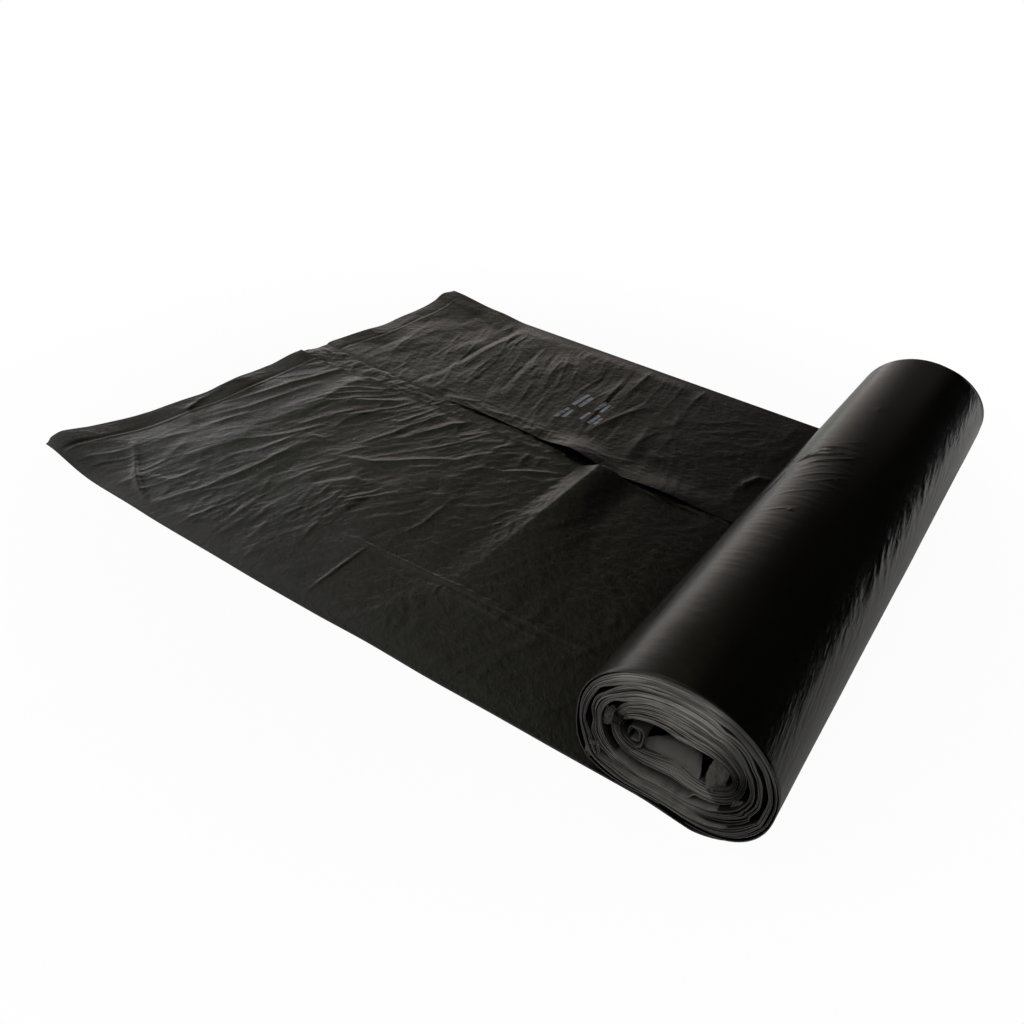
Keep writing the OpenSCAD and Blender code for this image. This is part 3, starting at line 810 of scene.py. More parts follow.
# Rows and columns are close together where the film has its fine creases
outer_angles = np.concatenate(
    [
        np.arange(270, 365, 3.0), np.arange(365, 400, 1.2), np.arange(400, 438, 2.6),
        np.arange(438, 514, 1.1), np.arange(514, 630, 2.9), [630],
    ]
)
angles = outer_angles[:, None]
shares = (outer_angles - 270) / 360
outer_places = np.array([skin_places(0, share)[0] for share in shares])
near_stop = NEAR_Y + end_of_winding(shares, 61) + 2.3 * hump((shares + 0.5) % 1 - 0.5, 0.18)
far_stop = FAR_Y - blend(FAR_DRAW_IN, end_of_winding(shares, 62), ease(shares, 0.05, 0.6))
columns = [np.arange(0, 70, 1.9), np.arange(70, 232, 0.75), np.arange(232, 375, 1.9), [ROLL_LENGTH]]
length_share = np.concatenate(columns)[None, :] / ROLL_LENGTH
outer_y = blend(near_stop[:, None], far_stop[:, None], length_share)
tip = blend(outer_places[:, :1], outer_places[:, 1:], length_share[..., None])
print("outermost winding:", *outer_y.shape, "rows and columns")

# %% Ripples, streaks and creases in the outermost winding
arc = angles * ARC + 0 * outer_y
slant = arc + 0.35 * outer_y
ripple = 0.045 * smooth_noise(slant / 26, (outer_y - 0.25 * arc) / 3.2, 71)
ripple += 0.03 * smooth_noise(slant / 15, (outer_y - 0.2 * arc) / 1.7, 72)
on_flank = ease(angles, 440, 460) * (1 - ease(angles, 540, 570))
toward_near = blend(1.0, 0.35, ease(outer_y, -20, 120))
swell = 0.12 * smooth_noise(arc / 45, outer_y / 38, 73)
raised = swell + ripple * blend(0.25, 1.25, on_flank * toward_near)
for height, width, path in ROLL_CREASES:
    path = [((360 + turn) * ARC, y) for turn, y in path]
    raised += crease(arc, outer_y, path, height, width)
rng = np.random.default_rng(17)
for y in np.arange(NEAR_Y + 8, FAR_Y - 8, 4.2):
    middle = 360 + rng.uniform(24, 38)
    reach = rng.uniform(5, 12)
    slope = rng.uniform(0.30, 0.55)
    place = y + rng.uniform(-3, 3)
    low_end = ((middle + 2) * ARC - slope * reach, place - reach)
    high_end = (middle * ARC + slope * reach, place + reach)
    bold = 0.8 + 1.3 * float(hump(place + 40, 90))
    height = bold * rng.uniform(0.06, 0.16)
    raised += crease(arc, outer_y, [low_end, high_end], height, rng.uniform(0.8, 1.5))
away = np.stack([np.cos(np.radians(angles)), np.sin(np.radians(angles))], -1)
from_near = ease(outer_y, near_stop[:, None], near_stop[:, None] + 2)
from_far = ease(-outer_y, -far_stop[:, None], 2 - far_stop[:, None])
hidden = ease(angles, 276, 292) * (1 - ease(angles, 590, 606))
tip = tip + away * (raised * (from_near * from_far) * hidden)[..., None]
outer_points = np.stack([tip[..., 0], outer_y, tip[..., 1]], -1)


def turned_in(points, away, out):
    """Columns that turn the film in round its fold at one end of the roll and lead back inside it."""
    sunk = np.stack([away[:, 0, 0], 0 * away[:, 0, 0], away[:, 0, 1]], -1)
    made = []
    for depth, inwards in ((0.12, -0.1), (0.28, -0.1), (0.40, 0.2), (0.40, 7.0)):
        made.append(points - depth * sunk + np.array([0, -inwards * out, 0]))
    return np.stack(made, 1)


near_lip = turned_in(outer_points[:, 0], away, -1)[:, ::-1]
far_lip = turned_in(outer_points[:, -1], away, 1)
outer_turn = sheet_of_points("outer_turn", np.concatenate([near_lip, outer_points, far_lip], 1))
# Painted light: the folded edges of the film at both ends take the paler second material, which lightens
# their shade
rims = np.zeros((outer_y.shape[0] - 1, outer_y.shape[1] + 7), int)
rims[:, 1:4] = rims[:, -4:-1] = 1
outer_turn.data.polygons.foreach_set("material_index", rims.ravel())
print("outermost winding:", face_count(outer_turn), "faces")

# %% [markdown]
# ## The windings inside
# The other windings are one band of film on one long path, so their shape follows a rule, and
# Geometry Nodes can loft them. The path is a line of points with attributes: where the film's skin
# lies at the near end, where it lies at the far end, which way is inwards and how thick it is. The
# windings are never wound quite level, so at the near end they stand in by different amounts. The
# tree lays a grid over that path, with its columns close together at the two ends of the roll,
# where they show, and lets the film's ends wander a little.

# %% The path of the windings
# Points of the path in one turn
STEPS = 96


def winding_path():
    """Points of the path with their attributes, from under the outermost winding to the hollow."""
    near_skin, far_skin, inward, thickness, count = [], [], [], [], []
    for step in range(STEPS * (TURNS - 1) + 1):
        turn, rest = divmod(step, STEPS)
        turn += 1
        share = rest / STEPS
        if turn == TURNS:
            turn, share = TURNS - 1, 1.0
        (near, far), thick = skin_places(turn, share)
        near_skin.append((near[0], 0, near[1]))
        far_skin.append((far[0], 0, far[1]))
        a = math.radians(direction_at(share))
        inward.append((-math.cos(a), 0, -math.sin(a)))
        thickness.append(thick)
        count.append(turn + share)
    return [np.array(values, float) for values in (near_skin, far_skin, inward, thickness, count)]


def close_to(direction, middle, reach):
    """1 at one direction of the roll's section, which fades to 0 at a reach on both sides of it."""
    return hump((direction - middle + 180) % 360 - 180, reach)


near_skin, far_skin, inward, thickness, count = winding_path()
thickness[0] = thickness[-1] = 0
direction = direction_at(count % 1)
low_side = close_to(direction, 270, 105)
right_side = close_to(direction, 360, 70)
bottom = close_to(direction, 270, 62)
ring = ease(count, 14.6, 15.4)
# How far each winding stands in at the near end: more at the bottom, inside winding 7 and at the ring
telescoped = 2.3 * bottom + 3.2 * ease(count, 6.6, 7.4) * low_side
telescoped += ring * (0.3 + 1.4 * low_side + 2.2 * right_side) + 1.0 * ease(count, 16, TURNS) * low_side
telescoped += 0.5 * np.maximum(0, smooth_noise(count * 3.1, 0.5, 65))
near_skin[:, 1] = NEAR_Y + end_of_winding(count, 63) + telescoped
far_skin[:, 1] = FAR_Y - end_of_winding(count, 64) - 3.0 * ease(count, TURNS * 0.6, TURNS * 0.7)
path_mesh = bpy.data.meshes.new("winding_path")
path_mesh.from_pydata((near_skin * MM).tolist(), [(i, i + 1) for i in range(len(count) - 1)], [])
for name, kind, values in (
    ("near_skin", "FLOAT_VECTOR", near_skin * MM),
    ("far_skin", "FLOAT_VECTOR", far_skin * MM),
    ("inward", "FLOAT_VECTOR", inward),
    ("thickness", "FLOAT", thickness * MM),
    ("turn_count", "FLOAT", count),
):
    attribute = path_mesh.attributes.new(name, kind, "POINT")
    attribute.data.foreach_set("vector" if kind == "FLOAT_VECTOR" else "value", values.ravel())
winding_path_object = new_object("winding_path", path_mesh)

# %% A few helpers that build node trees


def add_node(tree, kind, settings=None, **sockets):
    """A node with its settings and with values or links for its named inputs."""
    made = tree.nodes.new(kind)
    for key, value in (settings or {}).items():
        setattr(made, key, value)
    for key, value in sockets.items():
        plug(tree, made.inputs[key.replace("_", " ")], value)
    return made


def plug(tree, socket, value):
    """Links an output to a socket, or sets the socket's own value."""
    if isinstance(value, bpy.types.NodeSocket):
        tree.links.new(value, socket)
    else:
        socket.default_value = value


def sums(tree, operation, *values):
    """The result of a Math node."""
    made = tree.nodes.new("ShaderNodeMath")
    made.operation = operation
    for socket, value in zip(made.inputs, values):
        plug(tree, socket, value)
    return made.outputs[0]


def vector_sums(tree, operation, *values):
    """The result of a Vector Math node, whose scale is its fourth input."""
    made = tree.nodes.new("ShaderNodeVectorMath")
    made.operation = operation
    sockets = [made.inputs[0], made.inputs[3]] if operation == "SCALE" else made.inputs
    for socket, value in zip(sockets, values):
        plug(tree, socket, value)
    return made.outputs["Value" if operation == "LENGTH" else "Vector"]


def mixed(tree, kind, share, first, second):
    """The result of a Mix node for numbers (FLOAT) or for colours (RGBA)."""
    made = add_node(tree, "ShaderNodeMix", {"data_type": kind})
    place, output = (2, 0) if kind == "FLOAT" else (6, 2)
    for socket, value in ((0, share), (place, first), (place + 1, second)):
        plug(tree, made.inputs[socket], value)
    return made.outputs[output]


def soft_step(tree, value, zero, one):
    """0 before the place zero and 1 past the place one, with a smooth step between them."""
    step = add_node(
        tree, "ShaderNodeMapRange", {"interpolation_type": "SMOOTHSTEP"}, Value=value,
        From_Min=min(zero, one), From_Max=max(zero, one),
        To_Min=0.0 if zero < one else 1.0, To_Max=1.0 if zero < one else 0.0,
    )
    return step.outputs[0]


def band(tree, value, start, full, last_full, end):
    """1 from full to last_full, with smooth steps from 0 at the start and to 0 at the end."""
    risen = soft_step(tree, value, start, full)
    return sums(tree, "MULTIPLY", risen, soft_step(tree, value, end, last_full))


print("node helpers:", ", ".join(helper.__name__ for helper in (add_node, sums, mixed, soft_step, band)))

# %% The tree that lofts the windings


def loft_tree(name):
    """A tree that lofts the windings over a path of points with attributes."""
    tree = bpy.data.node_groups.new(name, "GeometryNodeTree")
    face = tree.interface
    face.new_socket("Geometry", in_out="INPUT", socket_type="NodeSocketGeometry")
    side = face.new_socket("Columns on a side", in_out="INPUT", socket_type="NodeSocketInt")
    crowd = face.new_socket("Crowding at the ends", in_out="INPUT", socket_type="NodeSocketFloat")
    wander = face.new_socket("Wander of the ends", in_out="INPUT", socket_type="NodeSocketFloat")
    bevel = face.new_socket("Bevel of the ends", in_out="INPUT", socket_type="NodeSocketFloat")
    seed = face.new_socket("Seed", in_out="INPUT", socket_type="NodeSocketFloat")
    film = face.new_socket("Film", in_out="INPUT", socket_type="NodeSocketMaterial")
    face.new_socket("Geometry", in_out="OUTPUT", socket_type="NodeSocketGeometry")
    given = tree.nodes.new("NodeGroupInput")
    points = add_node(tree, "GeometryNodeAttributeDomainSize", Geometry=given.outputs["Geometry"])
    rows = points.outputs["Point Count"]
    ring = sums(tree, "MULTIPLY_ADD", given.outputs[side.name], 2.0, 1.0)
    grid = add_node(tree, "GeometryNodeMeshGrid", Vertices_X=ring, Vertices_Y=rows)

    index = tree.nodes.new("GeometryNodeInputIndex").outputs[0]
    column = sums(tree, "FLOOR", sums(tree, "DIVIDE", sums(tree, "ADD", index, 0.5), rows))
    row = sums(tree, "SUBTRACT", index, sums(tree, "MULTIPLY", column, rows))

    def sample(attribute, data_type):
        """An attribute of the path's points, read at the row of a grid point."""
        named = add_node(tree, "GeometryNodeInputNamedAttribute", {"data_type": data_type}, Name=attribute)
        taken = add_node(
            tree, "GeometryNodeSampleIndex", {"data_type": data_type, "domain": "POINT"},
            Geometry=given.outputs["Geometry"], Value=named.outputs["Attribute"], Index=row,
        )
        return taken.outputs["Value"]

    # The ring goes along the outer skin from near to far and back along the inner skin
    last = sums(tree, "SUBTRACT", given.outputs[side.name], 1.0)
    around = sums(tree, "MODULO", column, sums(tree, "MULTIPLY", given.outputs[side.name], 2.0))
    inner = sums(tree, "GREATER_THAN", around, sums(tree, "ADD", last, 0.5))
    back = sums(tree, "SUBTRACT", sums(tree, "MULTIPLY_ADD", last, 2.0, 1.0), around)
    share = sums(tree, "DIVIDE", mixed(tree, "FLOAT", inner, around, back), last)
    from_middle = sums(tree, "MULTIPLY_ADD", share, 2.0, -1.0)
    size = sums(tree, "ABSOLUTE", from_middle)
    close = sums(tree, "POWER", sums(tree, "SUBTRACT", 1.0, size), given.outputs[crowd.name])
    signed = sums(tree, "MULTIPLY", sums(tree, "SIGN", from_middle), sums(tree, "SUBTRACT", 1.0, close))
    share = sums(tree, "MULTIPLY_ADD", signed, 0.5, 0.5)

    near, far = sample("near_skin", "FLOAT_VECTOR"), sample("far_skin", "FLOAT_VECTOR")
    span = vector_sums(tree, "SUBTRACT", far, near)
    skin = vector_sums(tree, "ADD", near, vector_sums(tree, "SCALE", span, share))
    thick, turn_count = sample("thickness", "FLOAT"), sample("turn_count", "FLOAT")
    depth = sums(tree, "MULTIPLY", inner, thick)
    sunk = vector_sums(tree, "SCALE", sample("inward", "FLOAT_VECTOR"), depth)
    skin = vector_sums(tree, "ADD", skin, sunk)

    # Only the last few millimetres wander, so the film stays straight inside the roll
    noise = add_node(
        tree, "ShaderNodeTexNoise", {"noise_dimensions": "1D"}, Scale=3.1, Detail=3.0,
        W=sums(tree, "ADD", turn_count, given.outputs[seed.name]),
    )
    off_middle = sums(tree, "ABSOLUTE", sums(tree, "MULTIPLY_ADD", share, 2.0, -1.0))
    at_end = sums(tree, "POWER", off_middle, 40.0)
    push = sums(tree, "MULTIPLY", sums(tree, "SUBTRACT", noise.outputs[0], 0.5), at_end)
    push = sums(tree, "MULTIPLY", push, given.outputs[wander.name])
    # The outer skin of a winding ends a little sooner than its inner skin
    sooner = sums(tree, "MULTIPLY", sums(tree, "SUBTRACT", 1.0, inner), thick)
    sooner = sums(tree, "MULTIPLY", sums(tree, "MULTIPLY", sooner, at_end), given.outputs[bevel.name])
    toward = sums(tree, "SIGN", sums(tree, "MULTIPLY_ADD", share, -2.0, 1.0))
    push = sums(tree, "MULTIPLY_ADD", sooner, toward, push)
    move = add_node(tree, "ShaderNodeCombineXYZ", Y=push)
    marked = add_node(
        tree, "GeometryNodeSetPosition", Geometry=grid.outputs["Mesh"],
        Position=skin, Offset=move.outputs[0],
    )
    # The film's material reads where the mouth of the roll, the winding and the film's end are
    for attribute, value in (
        ("roll_mouth", sums(tree, "POWER", off_middle, 22.0)),
        ("winding", turn_count),
        ("film_end", sums(tree, "POWER", off_middle, 1500.0)),
    ):
        marked = add_node(
            tree, "GeometryNodeStoreNamedAttribute", {"data_type": "FLOAT", "domain": "POINT"},
            Geometry=marked.outputs[0], Name=attribute, Value=value,
        )
    closed = add_node(
        tree, "GeometryNodeMergeByDistance", Geometry=marked.outputs[0], Distance=0.000002
    )
    smooth = add_node(tree, "GeometryNodeSetShadeSmooth", Geometry=closed.outputs[0], Shade_Smooth=True)
    real = add_node(tree, "GeometryNodeRealizeInstances", Geometry=smooth.outputs[0])
    coated = add_node(
        tree, "GeometryNodeSetMaterial", Geometry=real.outputs[0], Material=given.outputs[film.name]
    )
    out = tree.nodes.new("NodeGroupOutput")
    tree.links.new(coated.outputs[0], out.inputs[0])
    return tree


def bake_with_nodes(name, source, tree, values):
    """Runs a tree on a source object and keeps the result as a plain mesh object."""
    runner = source.modifiers.new("tree", "NODES")
    runner.node_group = tree
    for item in tree.interface.items_tree:
        if item.in_out == "INPUT" and item.name in values:
            runner[item.identifier] = values[item.name]
    source.update_tag()
    graph = bpy.context.evaluated_depsgraph_get()
    mesh = bpy.data.meshes.new_from_object(source.evaluated_get(graph))
    mesh.name = name
    source.modifiers.remove(runner)
    return new_object(name, mesh)


winding_loft = loft_tree("winding loft")
print("the loft has", len(winding_loft.nodes), "nodes")

# %% [markdown]
# ## Film as a material
# Black bin bag film is polythene with soot in it: very dark, a little brown, and glossy enough to
# show soft lights. What makes it look like film is its surface: fine wrinkles, faint streaks drawn
# along the tube and specks of dust. These are one shared group of nodes with named inputs, and each
# material places it with values of its own. The cut ends of the film scatter more light, so they
# are paler and rougher.

# %% The shared surface group


def surface_group():
    """The film's colour with its dust, its roughness and the height of its fine relief."""
    tree = bpy.data.node_groups.new("film surface", "ShaderNodeTree")
    face = tree.interface
    for name, kind, value in (
        ("Place", "NodeSocketVector", (0, 0, 0)),
        ("Film Color", "NodeSocketColor", (0.0036, 0.0034, 0.003, 1)),
        ("Dust Color", "NodeSocketColor", (0.10, 0.098, 0.09, 1)),
        ("Roughness", "NodeSocketFloat", 0.3),
        ("Wrinkle Size", "NodeSocketFloat", 220.0),
        ("Wrinkle Height", "NodeSocketFloat", 0.05),
        ("Grain Height", "NodeSocketFloat", 0.006),
        ("Dust", "NodeSocketFloat", 0.5),
    ):
        socket = face.new_socket(name, in_out="INPUT", socket_type=kind)
        socket.default_value = value
    face.new_socket("Color", in_out="OUTPUT", socket_type="NodeSocketColor")
    face.new_socket("Roughness", in_out="OUTPUT", socket_type="NodeSocketFloat")
    face.new_socket("Height", in_out="OUTPUT", socket_type="NodeSocketFloat")
    given = tree.nodes.new("NodeGroupInput").outputs
    soft = add_node(
        tree, "ShaderNodeTexNoise", Vector=given["Place"], Scale=given["Wrinkle Size"], Detail=5.0,
        Roughness=0.62, Distortion=0.6,
    )
    streaks = add_node(
        tree, "ShaderNodeTexNoise",
        Vector=vector_sums(tree, "MULTIPLY", given["Place"], (60.0, 700.0, 300.0)), Scale=1.0, Detail=2.0,
    )
    grain = add_node(tree, "ShaderNodeTexNoise", Vector=given["Place"], Scale=1900.0, Detail=1.0)
    patches = add_node(tree, "ShaderNodeTexNoise", Vector=given["Place"], Scale=17.0, Detail=3.0)
    specks = add_node(tree, "ShaderNodeTexVoronoi", Vector=given["Place"], Scale=95.0)
    dot = add_node(
        tree, "ShaderNodeMapRange", {"clamp": True}, Value=specks.outputs["Distance"],
        From_Min=0.045, From_Max=0.02, To_Min=0.0, To_Max=1.0,
    )
    scattered_share = sums(tree, "FRACT", sums(tree, "MULTIPLY", patches.outputs[0], 13.0))
    chosen = sums(tree, "GREATER_THAN", scattered_share, 0.8)
    dust = sums(tree, "MULTIPLY", sums(tree, "MULTIPLY", dot.outputs[0], chosen), given["Dust"])
    patchy = sums(tree, "SUBTRACT", patches.outputs[0], 0.5)
    rough = sums(tree, "MULTIPLY_ADD", patchy, 0.16, given["Roughness"])
    rough = sums(tree, "MULTIPLY_ADD", dust, 0.4, rough)
    low, line, fine = [
        sums(tree, "MULTIPLY", sums(tree, "SUBTRACT", noise.outputs[0], 0.5), given[size])
        for noise, size in ((soft, "Wrinkle Height"), (streaks, "Grain Height"), (grain, "Grain Height"))
    ]
    out = tree.nodes.new("NodeGroupOutput").inputs
    tree.links.new(mixed(tree, "RGBA", dust, given["Film Color"], given["Dust Color"]), out["Color"])
    tree.links.new(rough, out["Roughness"])
    tree.links.new(sums(tree, "ADD", sums(tree, "ADD", low, line), fine), out["Height"])
    return tree


film_surface = surface_group()
print("the surface group has", len(film_surface.nodes), "nodes")

# %% The loose film, its cut edges and scuffed film


def film_material(name, values):
    """A material around the shared group. Returns the material, its tree and the nodes to extend."""
    made = bpy.data.materials.new(name)
    made.use_nodes = True
    tree = made.node_tree
    shader = tree.nodes["Principled BSDF"]
    shader.inputs["IOR"].default_value = 1.42
    group = tree.nodes.new("ShaderNodeGroup")
    group.node_tree = film_surface
    place = tree.nodes.new("ShaderNodeTexCoord").outputs["Object"]
    tree.links.new(place, group.inputs["Place"])
    for key, value in values.items():
        group.inputs[key].default_value = value
    bump = add_node(tree, "ShaderNodeBump", Height=group.outputs["Height"], Distance=MM, Strength=1.0)
    tree.links.new(group.outputs["Color"], shader.inputs["Base Color"])
    tree.links.new(group.outputs["Roughness"], shader.inputs["Roughness"])
    tree.links.new(bump.outputs[0], shader.inputs["Normal"])
    return made, tree, group, shader, place


LOOSE = {"Roughness": 0.24, "Wrinkle Height": 0.40, "Grain Height": 0.022}
loose_film = film_material("loose film", LOOSE)[0]
cut_edge = film_material(
    "cut film edge", {"Film Color": (0.05, 0.049, 0.046, 1), "Roughness": 0.5, "Wrinkle Size": 900.0}
)[0]
SCUFFED = {"Roughness": 0.38, "Wrinkle Size": 700.0, "Wrinkle Height": 0.25}
scuffed_film = film_material("scuffed film", {"Film Color": (0.07, 0.068, 0.063, 1), **SCUFFED})[0]
print("film materials:", loose_film.name, cut_edge.name, scuffed_film.name)

# %% The tight film of the outermost winding
tight_film, tree, group, shader, place = film_material(
    "tight film", {"Roughness": 0.19, "Wrinkle Size": 160.0, "Wrinkle Height": 0.04, "Dust": 0.9}
)
# Streaks along the roll on the outer side, hair lines round it on the side of the loose bag
spots = add_node(tree, "ShaderNodeSeparateXYZ", Vector=place)
leaning = add_node(
    tree, "ShaderNodeCombineXYZ",
    X=sums(tree, "MULTIPLY_ADD", spots.outputs[1], 0.10, spots.outputs[0]), Y=spots.outputs[1],
    Z=sums(tree, "MULTIPLY_ADD", spots.outputs[1], -0.15, spots.outputs[2]),
)
streaks = add_node(
    tree, "ShaderNodeTexNoise", Scale=1.0, Detail=3.0, Roughness=0.6,
    Vector=vector_sums(tree, "MULTIPLY", leaning.outputs[0], (620.0, 52.0, 620.0)),
)
hair = add_node(
    tree, "ShaderNodeTexNoise", Scale=1.0, Detail=3.0, Roughness=0.6, Distortion=0.4,
    Vector=vector_sums(tree, "MULTIPLY", place, (90.0, 640.0, 130.0)),
)
outer_side = add_node(
    tree, "ShaderNodeMapRange", {"clamp": True}, Value=spots.outputs[0],
    From_Min=0.002, From_Max=0.022, To_Min=0.0, To_Max=1.0,
)
low_hair = sums(tree, "MULTIPLY", hair.outputs[0], 0.085)
high_streaks = sums(tree, "MULTIPLY", streaks.outputs[0], 0.26)
lines = mixed(tree, "FLOAT", outer_side.outputs[0], low_hair, high_streaks)
tight_height = sums(tree, "ADD", group.outputs["Height"], lines)
plug(tree, shader.inputs["Normal"].links[0].from_node.inputs["Height"], tight_height)
print("film material:", tight_film.name)

# %% [markdown]
# ## The film in the mouth of the roll
# The mouth of the roll shows the ends of the windings. They are paler than the film, as cut edges
# are, but not evenly: each winding has its own share, and painted shade darkens them at both sides.
# The up-facing floors of two pockets, and the film ends low on the inner ring, are painted pale as
# painted light. The material reads where it is from the attributes that the tree stored, so this
# follows the windings, however they bend.

# %% The wound film
wound_film, tree, group, shader, place = film_material(
    "wound film", {"Roughness": 0.36, "Wrinkle Size": 700.0, "Wrinkle Height": 0.12, "Dust": 0.0}
)
# The first colour is painted light on up-facing floors, the second the paler colour of cut film ends
FLOOR_PAINTED_LIGHT_COLOR = (0.165, 0.161, 0.153, 1)
END_COLOR = (0.275, 0.27, 0.257, 1)
at_end = add_node(tree, "ShaderNodeAttribute", {"attribute_name": "film_end"}).outputs["Fac"]
in_mouth = add_node(tree, "ShaderNodeAttribute", {"attribute_name": "roll_mouth"}).outputs["Fac"]
winding = add_node(tree, "ShaderNodeAttribute", {"attribute_name": "winding"}).outputs["Fac"]
uneven = add_node(
    tree, "ShaderNodeTexNoise", {"noise_dimensions": "1D"},
    W=winding, Scale=3.7, Detail=3.0, Roughness=0.7,
)
spread = add_node(
    tree, "ShaderNodeMapRange", {"clamp": True}, Value=uneven.outputs[0],
    From_Min=0.35, From_Max=0.62, To_Min=0.25, To_Max=1.0,
)
spots = add_node(tree, "ShaderNodeSeparateXYZ", Vector=place)

# Painted light: floors facing up on the lower part of a turn are painted pale, in two bands of windings
# and round the inner ring
low_part = sums(tree, "ABSOLUTE", sums(tree, "SUBTRACT", sums(tree, "FRACT", winding), 0.5))
low_part = soft_step(tree, low_part, 0.352, 0.360)
first_floor = band(tree, winding, 5.90, 5.95, 7.05, 7.10)
second_floor = band(tree, winding, 13.6, 13.7, 15.95, 16.0)
painted_light_floors = sums(tree, "MULTIPLY", sums(tree, "MAXIMUM", first_floor, second_floor), low_part)
painted_light_floors = sums(tree, "MULTIPLY", in_mouth, painted_light_floors)
mottle = add_node(tree, "ShaderNodeTexNoise", Vector=place, Scale=150.0, Detail=5.0, Roughness=0.6)
painted_floor_light = sums(tree, "MULTIPLY", painted_light_floors, soft_step(tree, mottle.outputs[0], 0.05, 0.75))
painted_floor_light_color = mixed(tree, "RGBA", painted_floor_light, group.outputs["Color"], FLOOR_PAINTED_LIGHT_COLOR)

# Painted shade: on both sides of the mouth the film ends are painted darker
unshaded_middle = band(tree, spots.outputs[0], -0.037, -0.022, 0.008, 0.022)
kept = sums(tree, "MULTIPLY", spread.outputs[0], sums(tree, "MULTIPLY_ADD", unshaded_middle, 0.66, 0.34))
# Painted light: film ends on the lower side of the inner ring are painted paler
painted_light_ring_floor = sums(tree, "MULTIPLY", soft_step(tree, winding, 17.0, 19.0), low_part)
kept = sums(tree, "MINIMUM", sums(tree, "MULTIPLY_ADD", painted_light_ring_floor, 0.7, kept), 1.25)
color = mixed(tree, "RGBA", sums(tree, "MULTIPLY", at_end, kept), painted_floor_light_color, END_COLOR)
tree.links.new(color, shader.inputs["Base Color"])
rougher = sums(tree, "MULTIPLY_ADD", painted_light_floors, 0.2, group.outputs["Roughness"])
tree.links.new(rougher, shader.inputs["Roughness"])
print("film material:", wound_film.name)

# %% [markdown]
# ## The print
# Such bags carry a little pale print near the slit. Here it is a group of plain bars that spell
# nothing. They are fields of colour in the far panel's material, set out by Object coordinates, and
# a noise wears them as thin ink wears on film.

# %% The far panel's material with plain bars
# Middle x and y, half length along x and half length along y of each bar
INK_COLOR = (0.23, 0.255, 0.29, 1)
PRINT_BARS = [
    (-206.4, 92.0, 1.5, 11.0),
    (-201.6, 91.0, 1.5, 9.5),
    (-206.0, 66.0, 1.3, 9.0),
    (-202.0, 67.0, 1.3, 7.0),
    (-189.5, 92.5, 1.2, 8.0),
    (-185.6, 92.0, 1.2, 7.0),
    (-191.0, 72.5, 1.1, 6.5),
    (-183.6, 72.5, 1.4, 7.5),
    (-179.6, 71.5, 1.2, 5.5),
]
printed_film, tree, group, shader, place = film_material("printed film", LOOSE)
axes = add_node(tree, "ShaderNodeSeparateXYZ", Vector=place)
ink = None
for x, y, half_x, half_y in PRINT_BARS:
    off_x = sums(tree, "ABSOLUTE", sums(tree, "SUBTRACT", axes.outputs[0], x * MM))
    off_y = sums(tree, "ABSOLUTE", sums(tree, "SUBTRACT", axes.outputs[1], y * MM))
    in_width = sums(tree, "LESS_THAN", off_x, half_x * MM)
    bar = sums(tree, "MULTIPLY", in_width, sums(tree, "LESS_THAN", off_y, half_y * MM))
    ink = bar if ink is None else sums(tree, "MAXIMUM", ink, bar)
worn = add_node(tree, "ShaderNodeTexNoise", Vector=place, Scale=420.0, Detail=3.0)
kept = add_node(
    tree, "ShaderNodeMapRange", {"clamp": True}, Value=worn.outputs[0],
    From_Min=0.36, From_Max=0.52, To_Min=0.2, To_Max=0.9,
)
ink = sums(tree, "MULTIPLY", ink, kept.outputs[0])
inked = mixed(tree, "RGBA", ink, group.outputs["Color"], INK_COLOR)
tree.links.new(inked, shader.inputs["Base Color"])
print(len(PRINT_BARS), "plain bars of print")

# %% The windings as one mesh
wound_turns = bake_with_nodes(
    "wound_turns",
    winding_path_object,
    winding_loft,
    {
        "Columns on a side": 12,
        "Crowding at the ends": 4.0,
        "Wander of the ends": 0.9 * MM,
        "Bevel of the ends": 0.5,
        "Seed": 4.0,
        "Film": wound_film,
    },
)
bpy.data.objects.remove(winding_path_object)
print("windings:", face_count(wound_turns), "faces")

# %% [markdown]
# ## Loose film in the hollow and the pockets
# The first winding was never drawn tight. Part of it stands up as a slanting tongue in the mouth of
# the hollow, and two tails of it lie curled beside it. Each is a narrow sheet that is carried along
# the roll with noise, so that no two stretches are the same. Crumpled flaps of film stand in the
# hollow and in three of the pockets at the near end. A flap is short, and turns into the roll at its
# right side, where the next windings hold it.

# %% The tongue in the mouth of the hollow


def unrolled(points):
    """Flat size of a sheet, from the mean lengths of its columns and its rows, in millimetres."""
    down = np.linalg.norm(np.diff(points, axis=0), axis=-1).sum(0).mean()
    over = np.linalg.norm(np.diff(points, axis=1), axis=-1).sum(1).mean()
    return float(down), float(over)


def loose_sheet(name, points, thickness):
    """A sheet with a thickness, and its flat size."""
    return give_thickness(sheet_of_points(name, points), thickness), unrolled(points)


deep = np.concatenate([np.linspace(0, 14, 40), np.linspace(17, 120, 22)])[:, None]
over = np.linspace(0, 1, 60)[None, :]
left_side = blend(-16.0, -4.5, ease(deep, 0, 9))
right_side = blend(11.0, 8.0, ease(deep, 0, 9))
x = blend(left_side, right_side, over)
rise = 6.2 * ease(deep, -1.5, 7.5) * (1 - 0.6 * ease(deep, 20, 110))
bowed = 0.8 + 1.1 * np.sin(np.pi * over) * (1 - ease(deep, 6, 14))
z = 21.2 + rise + bowed + 0.16 * smooth_noise(x / 0.8, deep / 6, 121)
z = z + 0.3 * smooth_noise(x / 3.5, deep / 2.6, 122)
y = NEAR_Y + 5.8 + deep + 0.9 * np.cos(np.pi * (over - 0.5)) * (deep < 1) - 0.6 * ease(over, 0.7, 1)
loose_pieces = [loose_sheet("tongue", np.stack([x, y, z], -1), 0.3)]
print("tongue:", face_count(loose_pieces[0][0]), "faces")

# %% Curled tails in the hollow


